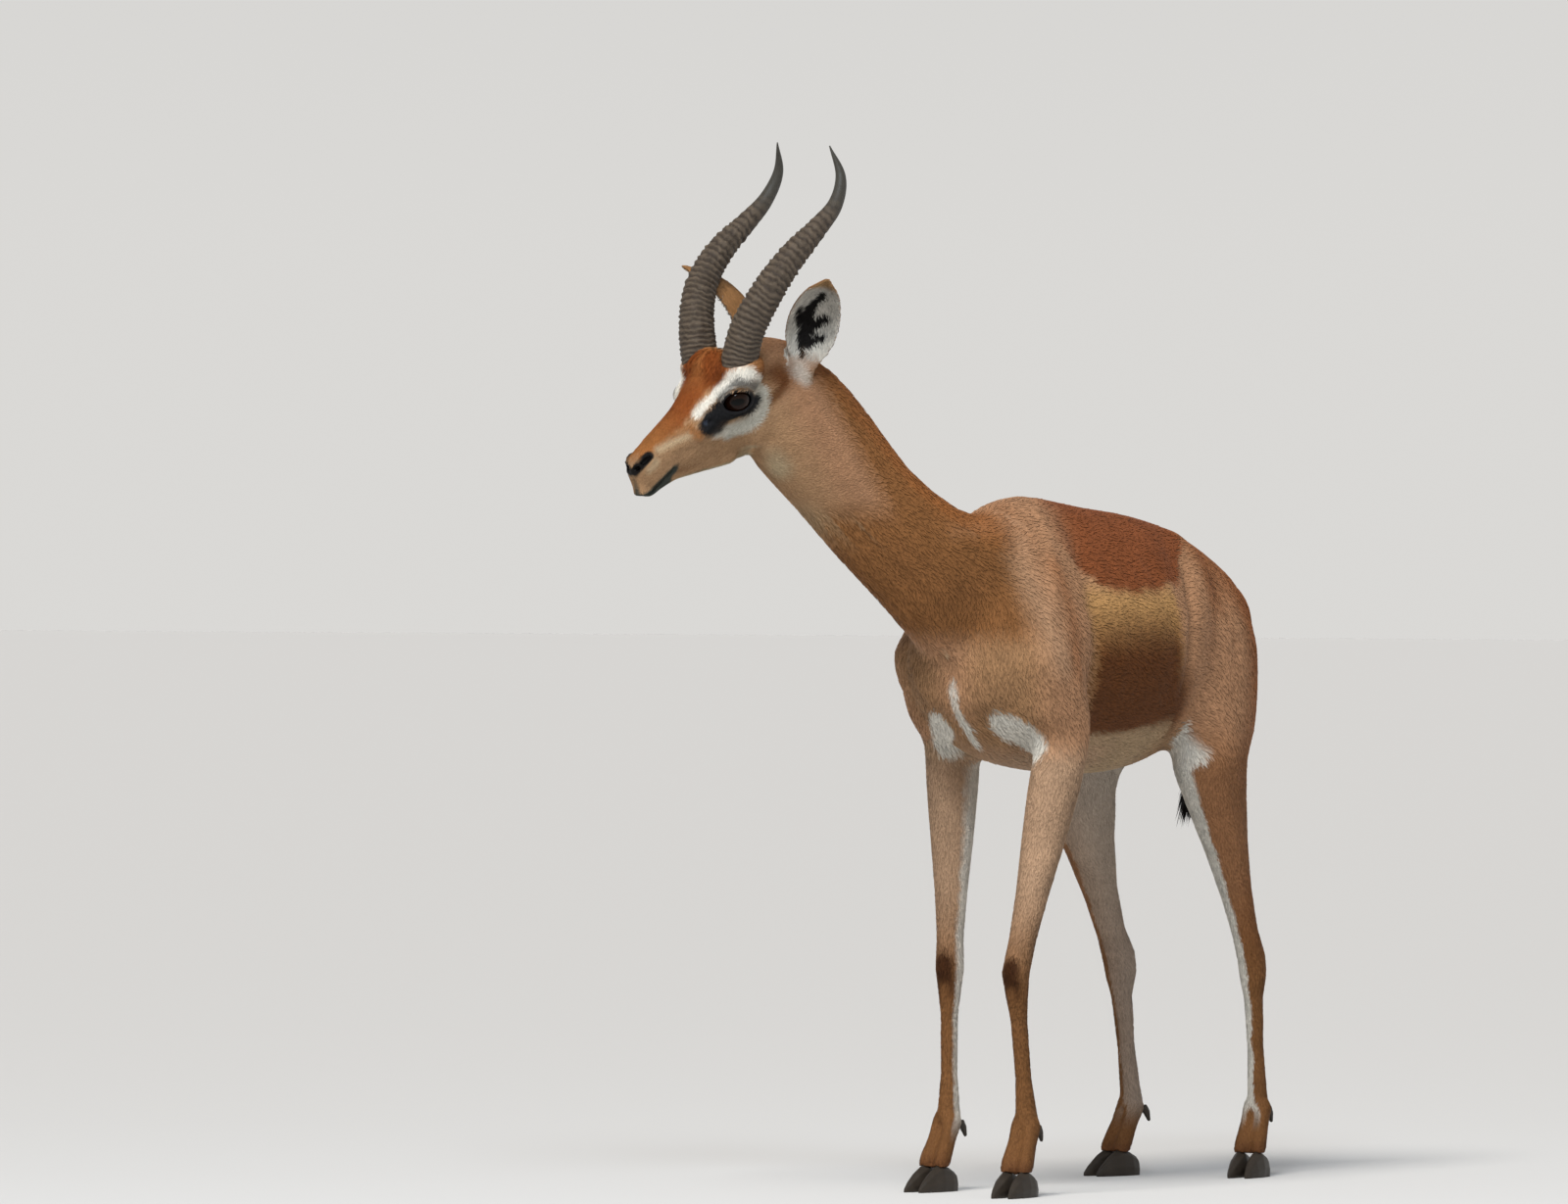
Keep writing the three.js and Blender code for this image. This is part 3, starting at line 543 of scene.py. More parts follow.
fine = gathered(
    "fine", [(coarse, 0)] + [(solids[n], 0.25) for n in ("head", "neck")] + [(solids[n], 0.6) for n in EARS],
)
fine = remeshed(fine, FINE_GRAIN)
a = to_animal(points_of(fine))
h = to_head(a)
hm = both_sides(h)
on_head = head_share(a, h)
on_ear = ear_shares(h, normals_of(fine) @ HEAD_WAY)[0]
relax(fine, (0.25 + 0.75 * (1 - on_head)) * (1 - 0.6 * on_ear), 8, back=SWELL_BACK)
open_part = by(hm, [EYE["place"]], 27, 4)
for line, half in [([(156, 6, -6), (132, 18, 5)], 8), ([(104, 20, -29), (134, 18, -38), (166, 0, -44)], 6)]:
    open_part = np.maximum(open_part, by(hm, line, half, 3))
relax(fine, on_head * (1 - on_ear) * (1 - open_part) * ramp(h[:, 0], -170, -150), 60)
p, n = points_of(fine), normals_of(fine)
a = to_animal(p)
h = to_head(a)
on_head = head_share(a, h)
on_ear = ear_shares(h, n @ HEAD_WAY)[0]
rise, neck = swelling(a, h)
up_way = n @ NECK_UP
rise += neck * (hill(up_way + 0.56, 0.2) * -1.2 + hill(up_way + 0.2, 0.2) * 0.8)
depth = 1.8 - 0.9 * leg_share(a) - 1.2 * on_head - 0.5 * on_ear
put_points(fine, p + n * ((np.where(on_ear > 0.3, 0, rise) - depth) / MM)[:, None])
relax(fine, np.full(len(a), 0.3), 2, back=SWELL_BACK)


def behind_head(a):
    """Whether each point is clear of the head, whose fine forms need their triangles."""
    h = to_head(a)
    return (h[:, 0] < HEAD_BACK) & (head_share(a, h) < 0.05)


on_body = behind_head(a).astype(float)
spare = 2 * len(fine.polygons)
head_faces = spare * (1 - on_body.mean())
skin_mesh = thinned(fine, on_body, (head_faces + BODY_FACES) / spare)
off_body = 1.0 - behind_head(to_animal(points_of(skin_mesh)))
skin_mesh = thinned(skin_mesh, off_body, min(1, SKIN_FACES / len(skin_mesh.polygons)))


# The markings.

class Layers:
    """A colour at each place, with others laid over it by their shares."""

    def __init__(self, base, count):
        self.colour = np.tile(base, (count, 1)).astype(float)

    def lay(self, share, colour):
        self.colour = self.colour + share[:, None] * (np.array(colour) - self.colour)


# White marks of the breast: places out from the middle and up, and half widths.
CHEST_MARKS = [
    ([(48, 604), (62, 594), (74, 582)], 20), ([(76, 580), (78, 570)], 8),
    ([(3, 660), (2, 640), (1, 612)], 2.2), ([(1, 612), (0, 582)], 4.5),
]


def body_tint(a, n):
    """The colour of the body, neck, legs and tail at each place."""
    x, y, z = a.T
    m = both_sides(a)
    hand = np.sign(y)
    out = n[:, 1] * hand
    rag = ripple(a, 34, 3) * 3.0 + ripple(a, 9, 4) * 1.6
    coat = Layers(FAWN, len(a))
    coat.lay(ramp(z, 790, 860) * ramp(-x, 60, 170), RUMP)
    coat.lay(ramp(-x, 190, 262), RUMP)
    # Surfaces of the haunches that face backwards are painted darker red: painted shade.
    coat.lay(0.6 * ramp(-n[:, 0], 0.0, 0.5) * ramp(-x, 60, 120) * ramp(z, 480, 560), RUMP)
    coat.lay(0.5 * ramp(-x, 90, 130) * ramp(z, 730, 800), RUMP)
    coat.lay(by(m, [(330, 60, 690), (300, 40, 600)], 52, 26), CHEST)
    band = ramp(x, -22, 2) * ramp(-x, -212, -176)
    coat.lay(band * ramp(790 - z, -10, 30) * ramp(z, 560, 600), GOLD)
    coat.lay(band * ramp(772 - z + rag, -10, 86), FLANK)
    coat.lay(ramp(-x, -212, -176) * ramp(x, -70, -22) * ramp(700 - z, 0, 60), FLANK)
    border = np.interp(
        x, [-140, -103, -60, -42, 20, 99, 150, 182, 235], [884, 838, 802, 792, 779, 775, 784, 799, 862],
    )
    saddle = ramp(z - border + rag, -5, 5) * ramp(x + rag, -116, -100)
    coat.lay(saddle * ramp(-x - 0.5 * (z - 800), -262, -170), SADDLE)
    coat.lay(0.45 * by(m, [(250, 84, 812), (244, 112, 745), (262, 120, 680)], 12, 18), RUMP)
    # A thin dark line along the crease at the withers: painted shade.
    coat.lay(0.55 * by(m, [(292, 14, 890), (272, 38, 874), (258, 60, 852)], 4, 4), TAIL_BROWN)
    collar = ramp(x, 282, 330) * ramp(z, 700, 740) * ramp(870 - z, 0, 30)
    neck = np.maximum(neck_share(a) * ramp(x, 305, 365), collar)
    coat.lay(neck, NECK)
    # A paler, greyer band from the withers down the front of the shoulder: painted sheen.
    coat.lay(0.55 * by(m, [(288, 44, 872), (312, 62, 817), (304, 92, 760), (296, 118, 690)], 16, 24), LEG)
    coat.lay(ramp(x, 225, 330) * ramp(z, 800, 880) * ramp(n @ NECK_UP, 0.2, 0.8), NAPE_RED)
    coat.lay(neck * ramp(n @ NECK_UP, 0.25, 0.85), NAPE_RED)
    coat.lay(neck * ramp(-(n @ NECK_UP), 0.5, 0.95) * ramp(z, 820, 930), THROAT)
    coat.lay(0.8 * by(a, [(634, -112, 936), (604, -104, 918)], 20, 14), THROAT)
    belly = np.interp(x, [-60, -6, 25, 81, 238, 300], [680, 650, 606, 594, 592, 560])
    under = ramp(np.interp(x, [-90, -20], [0.1, 0.92]) - out, 0, 0.13)
    # The belly, and the surfaces that face down under it, take the belly's white painted darker and warmer:
    # painted shade.
    coat.lay(ramp(belly - z + rag, -4, 5) * ramp(-x, -268, -240) * ramp(x, -210, -150) * under, SHADED_BELLY)
    low = ramp(-n[:, 2], 0.45, 0.8) * ramp(belly + 4 - z, 0, 20)
    coat.lay(low * ramp(-x, -250, -200) * (z > 500), SHADED_BELLY)

    fore = ramp(x, 60, 140) * ramp(590 - z, -10, 40)
    hind = ramp(-x, -20, 60) * ramp(600 - z, -20, 60)
    coat.lay(fore, LEG)
    coat.lay(0.7 * hind, HAUNCH)
    coat.lay(ramp(420 - z, 0, 160) * fore, LEG_LOW)
    coat.lay(ramp(400 - z, 0, 160) * hind, LEG_LOW)
    turned = 0.06 * ripple(a, 16, 8) - out
    inner = ramp(0.24 * n[:, 0] - 0.05 + turned, -0.12, 0.14) * ramp(-np.abs(y), -135, -128)
    # The white inside the right hind leg is laid weaker than on the left: painted shade on the far leg.
    coat.lay(inner * hind * ramp(-x, 0, 30) * ramp(z, 60, 110) * ramp(y, -150, 60), WHITE)
    coat.lay(0.8 * fore * ramp(turned - 0.5 * n[:, 0], 0.55, 0.9) * ramp(z, 60, 110), WHITE)
    groin = ramp(inner * ramp(-x, -8, 12) * ramp(672 - z + rag, 0, 30) * ramp(z, 540, 600), 0.2, 0.8)
    coat.lay(groin * ramp(-np.abs(y), -118, -104), WHITE)
    flat = a * [1, 0, 1]
    wedge = by(flat, [(-8, 0, 644), (-33, 0, 622)], 4, 3)
    wedge = np.maximum(wedge, by(flat, [(-38, 0, 618), (-66, 0, 596), (-88, 0, 560)], 13, 5))
    wedge = wedge * ramp(np.abs(y), 60, 76) * ramp(n[:, 0] - 0.5 * out, -0.5, -0.25)
    coat.lay(wedge * ramp(z, 520, 560), WHITE)
    for row in ("foreleg_left", "foreleg_right"):
        knee = np.array(LEGS[row][2], float)
        coat.lay(by(a, [knee + [17, 0, 14], knee + [15, 0, -22]], 13, 6), KNEE)
        coat.lay(0.75 * by(a, [knee + [14, 0, -20], knee + [2, 0, -150]], 8, 6), LEG_LOW)
    for row in ("hindleg_left", "hindleg_right"):
        hock = np.array(LEGS[row][2], float)
        coat.lay(0.6 * by(a, [hock + [-30, 0, 0], hock + [-24, 0, -60]], 10, 8), TAIL_BROWN)
    coat.lay(ramp(60 - z, 0, 26), TAIL_BROWN)

    breast = ramp(x, 225, 250) * ramp(n[:, 0], -0.1, 0.2)
    front = m[:, 1:] + (ripple(a, 12, 14) * 1.2)[:, None]
    for line, half in CHEST_MARKS:
        coat.lay(breast * by(front, line, half, 3), WHITE)
    coat.lay(0.6 * by(a, [(377, -5, 697)], 4, 3), PALE)

    tail_far, tail_along = near_line(a, TAIL_PATH)
    on_tail = ramp(-tail_far, -26, -18) * ramp(-x, 326, 340)
    coat.lay(on_tail, TAIL_BROWN)
    coat.lay(on_tail * ramp(tail_along, 0.5, 0.72), BLACK)
    rump_patch = by(m, [(-318, 30, 748), (-316, 34, 690), (-296, 46, 640)], 14, 6) * (1 - on_tail)
    coat.lay(rump_patch * ramp(-n[:, 0], 0.45, 0.7), WHITE)
    return coat.colour


# Bands of the face: a line, its half width, its softness, how fully it covers, and its colour.
FACE_BANDS = [
    ([(-50, 60, 34), (-66, 52, 20), (-84, 46, 4)], 17, 12, 0.9, TEMPLE),
    ([(-44, 45, -20), (-62, 44, -16), (-84, 42, -8)], 6, 5, 0.8, TEMPLE),
    ([(-36, 58, 42), (-60, 48, 44)], 12, 8, 0.7, ORANGE),
    ([(116, 17, 5), (99, 20, 4), (82, 23, 3), (68, 26, 0)], 4, 5, 0.75, PALE),
    ([(128, 20, -6), (140, 18, -10)], 5, 4, 0.6, PALE),
    ([(62, 27, 10), (86, 24, 12), (110, 20, 13)], 6, 4, 0.8, ORANGE),
    ([(54, 30, -8), (62, 28, 2)], 6, 4, 0.8, ORANGE),
    ([(95, 18, -38), (50, 22, -52), (6, 26, -66)], 4, 3, 0.6, TEMPLE),
    ([(46, 27, 20), (30, 31, 28), (10, 41, 38)], 7.0, 2.2, 1, FACE_WHITE),
    ([(10, 41, 38), (-8, 52, 43), (-22, 60, 40)], 10.5, 4, 1, FACE_WHITE),
    ([(-22, 60, 42), (-32, 61, 30), (-40, 53, 14)], 5.5, 3.5, 0.9, FACE_WHITE),
    ([(-40, 52, 12), (-45, 43, -6), (-41, 41, -19), (-26, 39, -27), (-6, 36, -30), (14, 33, -26)],
     10, 3.5, 1, EYE_RING),
    ([(20, 31, -22), (32, 30, -18)], 6, 4, 0.8, EYE_RING),
    ([(16, 46, 28), (4, 51, 35), (-12, 56, 35), (-24, 58, 26), (-34, 53, 11)], 7, 4, 0.9, LID_GREY),
    ([(24, 42, 14), (34, 34, 8), (40, 31, -2)], 9.5, 3.0, 1, BARE_BLACK),
    ([(14, 44, -6), (26, 36, -12), (40, 30, -8)], 8.5, 3.5, 0.95, BARE_BLACK),
    ([(20, 43, 4), (34, 34, -2)], 9, 3.5, 1, BARE_BLACK),
    ([(-34, 45, -9), (-20, 44, -17), (0, 41, -19), (16, 36, -19)], 4.5, 3, 1, EYE_RING),
    ([(42, 30, 1)], 9.5, 3, 1, BARE_BLACK),
    # The bluish spot in the gland is a painted highlight.
    ([(42, 30, 4)], 3.6, 2, 1, PAINTED_GLAND_GLINT),
    ([(18, 44, 0), (-4, 46, -10), (-22, 45, -14), (-34, 46, -4)], 6.5, 2.5, 1, BARE_BLACK),
]
MUZZLE_BANDS = [
    ([(104, 20, -31), (118, 19, -34), (134, 18, -39), (148, 14, -43), (160, 6, -45), (164, 0, -46)],
     7.5, 2.2, 1, LIP),
    ([(120, 16, -42), (134, 15, -46), (147, 13, -48), (158, 7, -49), (162, 0, -49)], 11, 2.5, 1, LIP),
    ([(163, 0, -18), (163, 0, -40)], 7, 3, 0.9, LIP),
    ([(160, 7, -12), (164, 0, -14)], 4.5, 2.5, 0.8, LIP),
    # A black line in the groove of the mouth: painted shade in the slit between the lips.
    ([(103, 20, -28.5), (118, 19, -32.5), (134, 18, -37.5), (148, 14, -42), (160, 6, -44), (164, 0, -45)],
     1.3, 0.7, 1, BLACK),
    ([(158, 8, -7), (150, 13, -3), (141, 18, 2), (133, 19.5, 5)], 5.2, 1.4, 1, BLACK),
]
# Where the nose, lips and gland are bare: a line, its half width and its softness.
BARE_PLACES = [
    ([(158, 7, -7), (150, 13, -3), (141, 18, 2), (133, 19.5, 5)], 8.5, 2),
    ([(163, 0, -12), (163, 0, -2)], 7, 3), ([(42, 30, 2)], 5, 2),
    ([(118, 19, -33), (134, 18, -38), (160, 5, -44)], 2.0, 1),
]
# The dark marks in the cup of an ear: a line up and across it, and its half width.
EAR_HAND = [
    ([(10, -5), (34, -6), (48, -3)], 3.6), ([(46, -4), (60, -5), (76, -9)], 11.0),
    ([(70, -8), (90, -4), (112, 4)], 8.5), ([(62, -14), (86, -22)], 5.0),
    ([(56, 2), (77, 17)], 5.5), ([(41, 4), (53, 18)], 4.6),
]


def tint(a, n):
    """The colour at each place, and how bare of hair it is."""
    h = to_head(a)
    n_head = n @ HEAD_WAY
    c = body_tint(a, n)
    bare = np.zeros(len(a))
    on_head = head_share(a, h)
    near = np.flatnonzero(on_head > 0.001)
    k, up = both_sides(h)[near], n_head[near, 2]
    face = Layers(CHEEK, len(near))
    rag = ripple(k, 14, 5) * 1.4 + ripple(k, 5, 6) * 0.8
    face.lay(ramp(-k[:, 0], 40, 100) * ramp(up, -0.6, 0.2), FAWN)
    face.lay(ramp(-up, 0.45, 0.85) * ramp(130 - k[:, 0], 0, 20), THROAT)
    bridge = np.interp(k[:, 0], [-60, -24, 0, 20, 39, 69, 91, 117, 150], [52, 52, 46, 36, 28, 14, 12, 8, 6])
    red = ramp(k[:, 2] - bridge + rag, -3, 3) * ramp(k[:, 0], -48, -30)
    face.lay(red, ORANGE)
    face.lay(red * hill(k[:, 0] - 42, 52) * 0.95, BLAZE)
    face.lay(by(k, [(-6, 24, 56), (4, 26, 46), (-18, 14, 70)], 13, 7), BLAZE)
    face.lay(by(k, [(-14, 34, 58), (-4, 31, 50)], 9, 4), TUFT_RED)
    ragged = k + (rag * 0.9)[:, None] * [0.4, 0.3, 0.5]
    for places, bands in ((ragged, FACE_BANDS), (k, MUZZLE_BANDS)):
        for line, half, softness, share, colour in bands:
            face.lay(by(places, line, half, softness) * share, colour)
    share, _, out, far = eye_place(k)
    rim = ramp(-share, -1.42, -1.2) * (out > 0) * (far < 40)
    face.lay(rim, BARE_BLACK)
    face.lay(by(k, [(158, 4, -7), (149, 9, -3), (140, 14, 2), (133, 15.5, 4)], 6.5, 1.5), BLACK)
    no_hair = rim
    for line, half, softness in BARE_PLACES:
        no_hair = np.maximum(no_hair, by(k, line, half, softness))

    on_ear, inside, at = ear_shares(h[near], n_head[near])
    left_long, right_long = (EARS[name]["long"] for name in ("ear_left", "ear_right"))
    long = np.where(h[near, 1] > 0, left_long, right_long)
    up_ear = at[:, 0] / long
    ear, cup = Layers(EAR_BACK, len(near)), Layers(EAR_WHITE, len(near))
    rag = ripple(at, 13, 7) * 1.6 + ripple(at, 5, 9) * 1.0
    flat_at = np.stack([at[:, 0] * left_long / long, at[:, 1]], 1) + rag[:, None] * [0.5, 0.15]
    hand = np.zeros(len(near))
    for line, half in EAR_HAND:
        hand = np.maximum(hand, by(flat_at, line, half, 0.8))
    cup.lay(hand, BLACK)
    cup.lay(ramp(up_ear, 0.8, 0.93), EAR_RIM)
    ear.lay(ramp(0.34 - up_ear, 0, 0.16), EAR_WHITE)
    ear.lay(inside * ramp(np.hypot(at[:, 1], at[:, 2]), 0, 4), cup.colour)
    face.lay(np.maximum(on_ear, inside), ear.colour)
    base = by(k, [(-104, 50, 6), (-112, 47, -16)], 10, 7) * (1 - inside)
    face.lay(0.65 * base, EAR_WHITE)
    face.lay(0.85 * by(a[near], [(646, -104, 948), (616, -108, 932)], 15, 12), THROAT)
    c[near] += on_head[near, None] * (face.colour - c[near])
    bare[near] = no_hair * on_head[near]
    shade = 1 + 0.05 * ripple(a, 75, 11) + 0.05 * ripple(a, 21, 12)
    return c * shade[:, None], bare


def set_field(mesh, name, values):
    """Values at each point of a mesh, as a field that its finish reads."""
    kind = "FLOAT_COLOR" if values.ndim == 2 else "FLOAT"
    field = mesh.attributes.new(name, kind, "POINT")
    if values.ndim == 2:
        flat = np.hstack([values, np.ones((len(values), 1))])
        field.data.foreach_set("color", flat.astype(np.float32).ravel())
    else:
        field.data.foreach_set("value", values.astype(np.float32))


skin_at, skin_way = to_animal(points_of(skin_mesh)), normals_of(skin_mesh)
skin_tint, skin_bare = tint(skin_at, skin_way)
set_field(skin_mesh, "tint", np.clip(skin_tint, 0, 1))
set_field(skin_mesh, "bare", skin_bare)
on_head = head_share(skin_at, to_head(skin_at))
on_neck = neck_share(skin_at) * (1 - on_head)
set_field(skin_mesh, "lie", np.stack([on_neck, leg_share(skin_at), on_head], 1))


# Finishes.

class Finish:
    """A material with its shader, and short ways to add nodes to it."""

    def __init__(self, name, **settings):
        self.made = bpy.data.materials.new(name)
        self.made.use_nodes = True
        self.tree = self.made.node_tree
        self.shader = self.tree.nodes["Principled BSDF"]
        for key, value in settings.items():
            self.shader.inputs[key].default_value = value

    def feed(self, socket, value):
        """Sets a number or a colour on a socket, or links another node's output to it."""
        if isinstance(value, (int, float)):
            socket.default_value = value
        elif isinstance(value, tuple):
            socket.default_value = (*value, 1)
        else:
            self.tree.links.new(value, socket)

    def node(self, kind, link=(), **values):
        made = self.tree.nodes.new("ShaderNode" + kind)
        for key, value in values.items():
            if key in made.inputs:
                made.inputs[key].default_value = value
            else:
                setattr(made, key, value)
        for socket, source in link:
            self.tree.links.new(source, made.inputs[socket])
        return made

    def field(self, name, out="Fac"):
        return self.node("Attribute", attribute_name=name, attribute_type="GEOMETRY").outputs[out]

    def noise(self, scale, stretch=(1, 1, 1), turn=(0, 0, 0), detail=2.0, rough=0.5):
        link = [("Vector", self.node("TexCoord").outputs["Object"])]
        if stretch != (1, 1, 1):
            place = self.node("Mapping", link, vector_type="TEXTURE", Rotation=turn, Scale=stretch)
            link = [("Vector", place.outputs[0])]
        made = self.node("TexNoise", link, Scale=scale, Detail=detail, Roughness=rough)
        return made.outputs["Fac"]

    def math(self, kind, *values):
        made = self.node("Math", operation=kind)
        for socket, value in zip(made.inputs, values):
            self.feed(socket, value)
        return made.outputs[0]

    def mixed(self, share, a, b, kind="MIX"):
        made = self.node("Mix", data_type="RGBA", blend_type=kind)
        for place, value in ((0, share), (6, a), (7, b)):
            self.feed(made.inputs[place], value)
        return made.outputs[2]

    def shaded(self, colour, light):
        """A colour made lighter or darker by a number that varies."""
        grey = self.node("CombineColor", [(part, light) for part in ("Red", "Green", "Blue")]).outputs[0]
        return self.mixed(1.0, colour, grey, "MULTIPLY")

    def paint(self, colour):
        self.feed(self.shader.inputs["Base Color"], colour)

    def gloss(self, value):
        self.feed(self.shader.inputs["Roughness"], value)

    def relief(self, height, depth, strength):
        made = self.node("Bump", [("Height", height)], Strength=strength, Distance=depth)
        self.feed(self.shader.inputs["Normal"], made.outputs[0])


LONG = (1, 1, 5)
hide = Finish("coat_skin", **{"Specular IOR Level": 0.07})
parts = hide.node("SeparateColor", [("Color", hide.field("lie", "Color"))]).outputs
grain = hide.noise(260, LONG, (0, math.radians(78), 0))
for share, drop, turn in zip(parts, (52, 4, 118), (-28, 0, -20)):
    along = hide.noise(420, LONG, (0, math.radians(drop), math.radians(turn)))
    rest = hide.math("MULTIPLY", grain, hide.math("SUBTRACT", 1.0, share))
    grain = hide.math("ADD", rest, hide.math("MULTIPLY", along, share))
hair = hide.math("SUBTRACT", 1.0, hide.field("bare"))
uneven = hide.math("SUBTRACT", grain, 0.5)
light = hide.math("MULTIPLY_ADD", uneven, hide.math("MULTIPLY", hair, 1.1), 0.94)
hide.paint(hide.shaded(hide.field("tint", "Color"), light))
hide.gloss(hide.math("MULTIPLY_ADD", hair, 0.3, 0.38))
pores = hide.noise(900, detail=3)
height = hide.math("ADD", hide.math("MULTIPLY", grain, hair), hide.math("MULTIPLY", pores, 0.3))
hide.relief(height, 0.0012, 0.6)

locks = Finish("coat_hair", **{"Roughness": 0.55, "Specular IOR Level": 0.07})
streak = locks.math("MULTIPLY_ADD", locks.noise(800, LONG, (0, math.radians(60), 0)), 0.5, 0.75)
locks.paint(locks.shaded(locks.field("tint", "Color"), streak))

finished("skin", skin_mesh, hide.made, [*FLESH, "tail"])


# The coat, in short tufts that lie along the body.

TILT = 0.45  # how far a lock's sides turn their shading outwards
PATCH = 0.003  # the size of a lock's patch on the map of its piece


def strand_mesh(name, paths, up, half, thick, colours, places):
    """Closed tapered locks. Paths run from root to tip; sizes are given at the stations between."""
    count, stations = paths.shape[:2]
    mids = stations - 2
    per = 2 + 3 * mids
    flow = unit(np.gradient(paths, axis=1))
    across = unit(np.cross(flow, up))
    rise = np.cross(across, flow)
    verts, normals, tones = (np.empty((count, per, 3)) for _ in range(3))
    for end in (0, -1):
        verts[:, end], normals[:, end], tones[:, end] = paths[:, end], rise[:, end], colours[end]
    for k in range(mids):
        centre, side, lift = paths[:, k + 1], across[:, k + 1], rise[:, k + 1]
        wide, high = side * half[:, k, None], lift * thick[:, k, None]
        for s, (offset, tilt) in enumerate(((-wide, -TILT), (high, 0), (wide, TILT)), 1 + 3 * k):
            verts[:, s] = centre + offset
            normals[:, s] = unit(lift + side * tilt)
            tones[:, s] = colours[k + 1]
    last = per - 1
    end = last - 3
    faces = [(0, 2, 1), (0, 3, 2), (0, 1, 3)]
    for k in range(mids - 1):
        b = 1 + 3 * k
        for i, j in ((b, b + 1), (b + 1, b + 2), (b + 2, b)):
            faces += [(i, j, j + 3), (i, j + 3, i + 3)]
    faces += [(end, end + 1, last), (end + 1, end + 2, last), (end + 2, end, last)]
    faces = (np.array(faces)[None] + np.arange(count)[:, None, None] * per).reshape(-1, 3)
    mesh = bpy.data.meshes.new(name)
    mesh.vertices.add(count * per)
    mesh.loops.add(len(faces) * 3)
    mesh.polygons.add(len(faces))
    mesh.vertices.foreach_set("co", to_frame(verts.reshape(-1, 3)).astype(np.float32).ravel())
    mesh.loops.foreach_set("vertex_index", faces.astype(np.int32).ravel())
    mesh.polygons.foreach_set("loop_start", np.arange(0, len(faces) * 3, 3, dtype=np.int32))
    mesh.update(calc_edges=True)
    set_field(mesh, "tint", np.clip(tones.reshape(-1, 3), 0, 1))
    station = np.linspace(-0.5, 0.5, stations)
    rows = [(s, station[k + 1]) for k in range(mids) for s in (-0.5, 0, 0.5)]
    patch = np.array([(0, station[0]), *rows, (0, 0.5)])
    spots = (places[:, None] + patch[None] * PATCH).reshape(-1, 2)
    layer = mesh.uv_layers.new(name="OFBake")
    layer.data.foreach_set("uv", spots[faces.ravel()].astype(np.float32).ravel())
    mesh.polygons.foreach_set("use_smooth", np.ones(len(faces), bool))
    mesh.normals_split_custom_set_from_vertices(normals.reshape(-1, 3).tolist())
    return mesh


skin_cover = BVHTree.FromPolygons(
    skin_at.tolist(), [tuple(f.vertices) for f in skin_mesh.polygons], all_triangles=False
)


def ways_of(*parts):
    """A way at each place, from its three parts, which may be single numbers."""
    return np.stack(np.broadcast_arrays(*parts), 1).astype(float)


def crown_share(h):
    """How far each place is on the tufts of the crown."""
    return by(both_sides(h), [(-6, 24, 56), (-18, 6, 70), (-40, 20, 66)], 18, 8)


def lie_of(a, n):
    """The way the hair runs at each place."""
    h = to_head(a)
    x, y, z = a.T
    way = np.tile([-1.0, 0, -0.25], (len(a), 1))

    def turn(share, to):
        nonlocal way
        way = way + share[:, None] * (unit(np.asarray(to, float)) - way)

    turn(ramp(x, 170, 240) * ramp(850 - z, 0, 90), [-0.6, 0, -0.85])
    turn(ramp(-x, 70, 150) * ramp(850 - z, 0, 60), [-0.45, 0, -0.9])
    turn(ramp(x, 300, 345) * ramp(790 - z, 0, 60), ways_of(0.1, 0.25 * np.where(y >= 0, 1.0, -1.0), -1))
    turn(ramp(-n[:, 2], 0.4, 0.8) * ramp(x, -150, -100), [-1.0, 0, 0])
    on_head = head_share(a, h)
    turn(neck_share(a) * (1 - on_head), [-0.72, 0.31, -0.62])
    share = leg_share(a)
    for line in LEGS.values():
        far, along = near_line(a, line)
        line = np.array(line, float)
        steps = np.linalg.norm(np.diff(line, axis=0), axis=1)
        which = np.clip(np.searchsorted(np.cumsum(steps) / steps.sum(), along), 0, 3)
        down = unit(np.diff(line, axis=0))[which]
        turn(share * ramp(-far, -75, -50), down)
    tail_far = near_line(a, TAIL_PATH)[0]
    turn(ramp(-tail_far, -26, -18) * ramp(-x, 330, 345), [0, -0.2, -1])
    side = np.sign(h[:, 1])
    face = unit(ways_of(0.9, side * 0.35, -0.35))
    back = unit(ways_of(-0.95, side * 0.15, -0.3))
    face = face + (ramp(-h[:, 0], 8, 40) * ramp(66 - h[:, 2], 0, 20))[:, None] * (back - face)
    on_ear, inside, at = ear_shares(h, n @ HEAD_WAY)
    spread = np.zeros((len(a), 3))
    for name in EARS:
        axis, _, ear_side = ear_place(h, name)[3]
        mine = (h[:, 1] > 0) == ("left" in name)
        spread[mine] = axis - np.sign(at[mine, 1:2]) * 0.4 * ear_side * inside[mine, None]
    face = face + np.maximum(on_ear, inside)[:, None] * (unit(spread + 1e-6) - face)
    turn(on_head, face @ HEAD_WAY.T)
    return unit(way - n * (way * n).sum(1)[:, None])


def regions_of(a, h, n):
    """The piece of the coat that each place belongs to, and how far it is inside an ear."""
    on_ear, inside, _ = ear_shares(h, n @ HEAD_WAY)
    ear = np.maximum(on_ear, inside) > 0.5
    head = (head_share(a, h) > 0.5) & ~ear
    neck = (neck_share(a) > 0.5) & ~head & ~ear & (a[:, 0] > 330)
    leg = (a[:, 2] < 590) & (leg_share(a) > 0.3) & ~head & ~neck & ~ear
    names = np.where(a[:, 1] >= 0, "coat_left_side", "coat_right_side").astype("U20")
    names[neck] = "coat_neck"
    names[leg] = np.where(a[leg, 0] > 0, "coat_forelegs", "coat_hindlegs")
    names[head] = "coat_head"
    names[ear] = "coat_ears"
    return names, inside


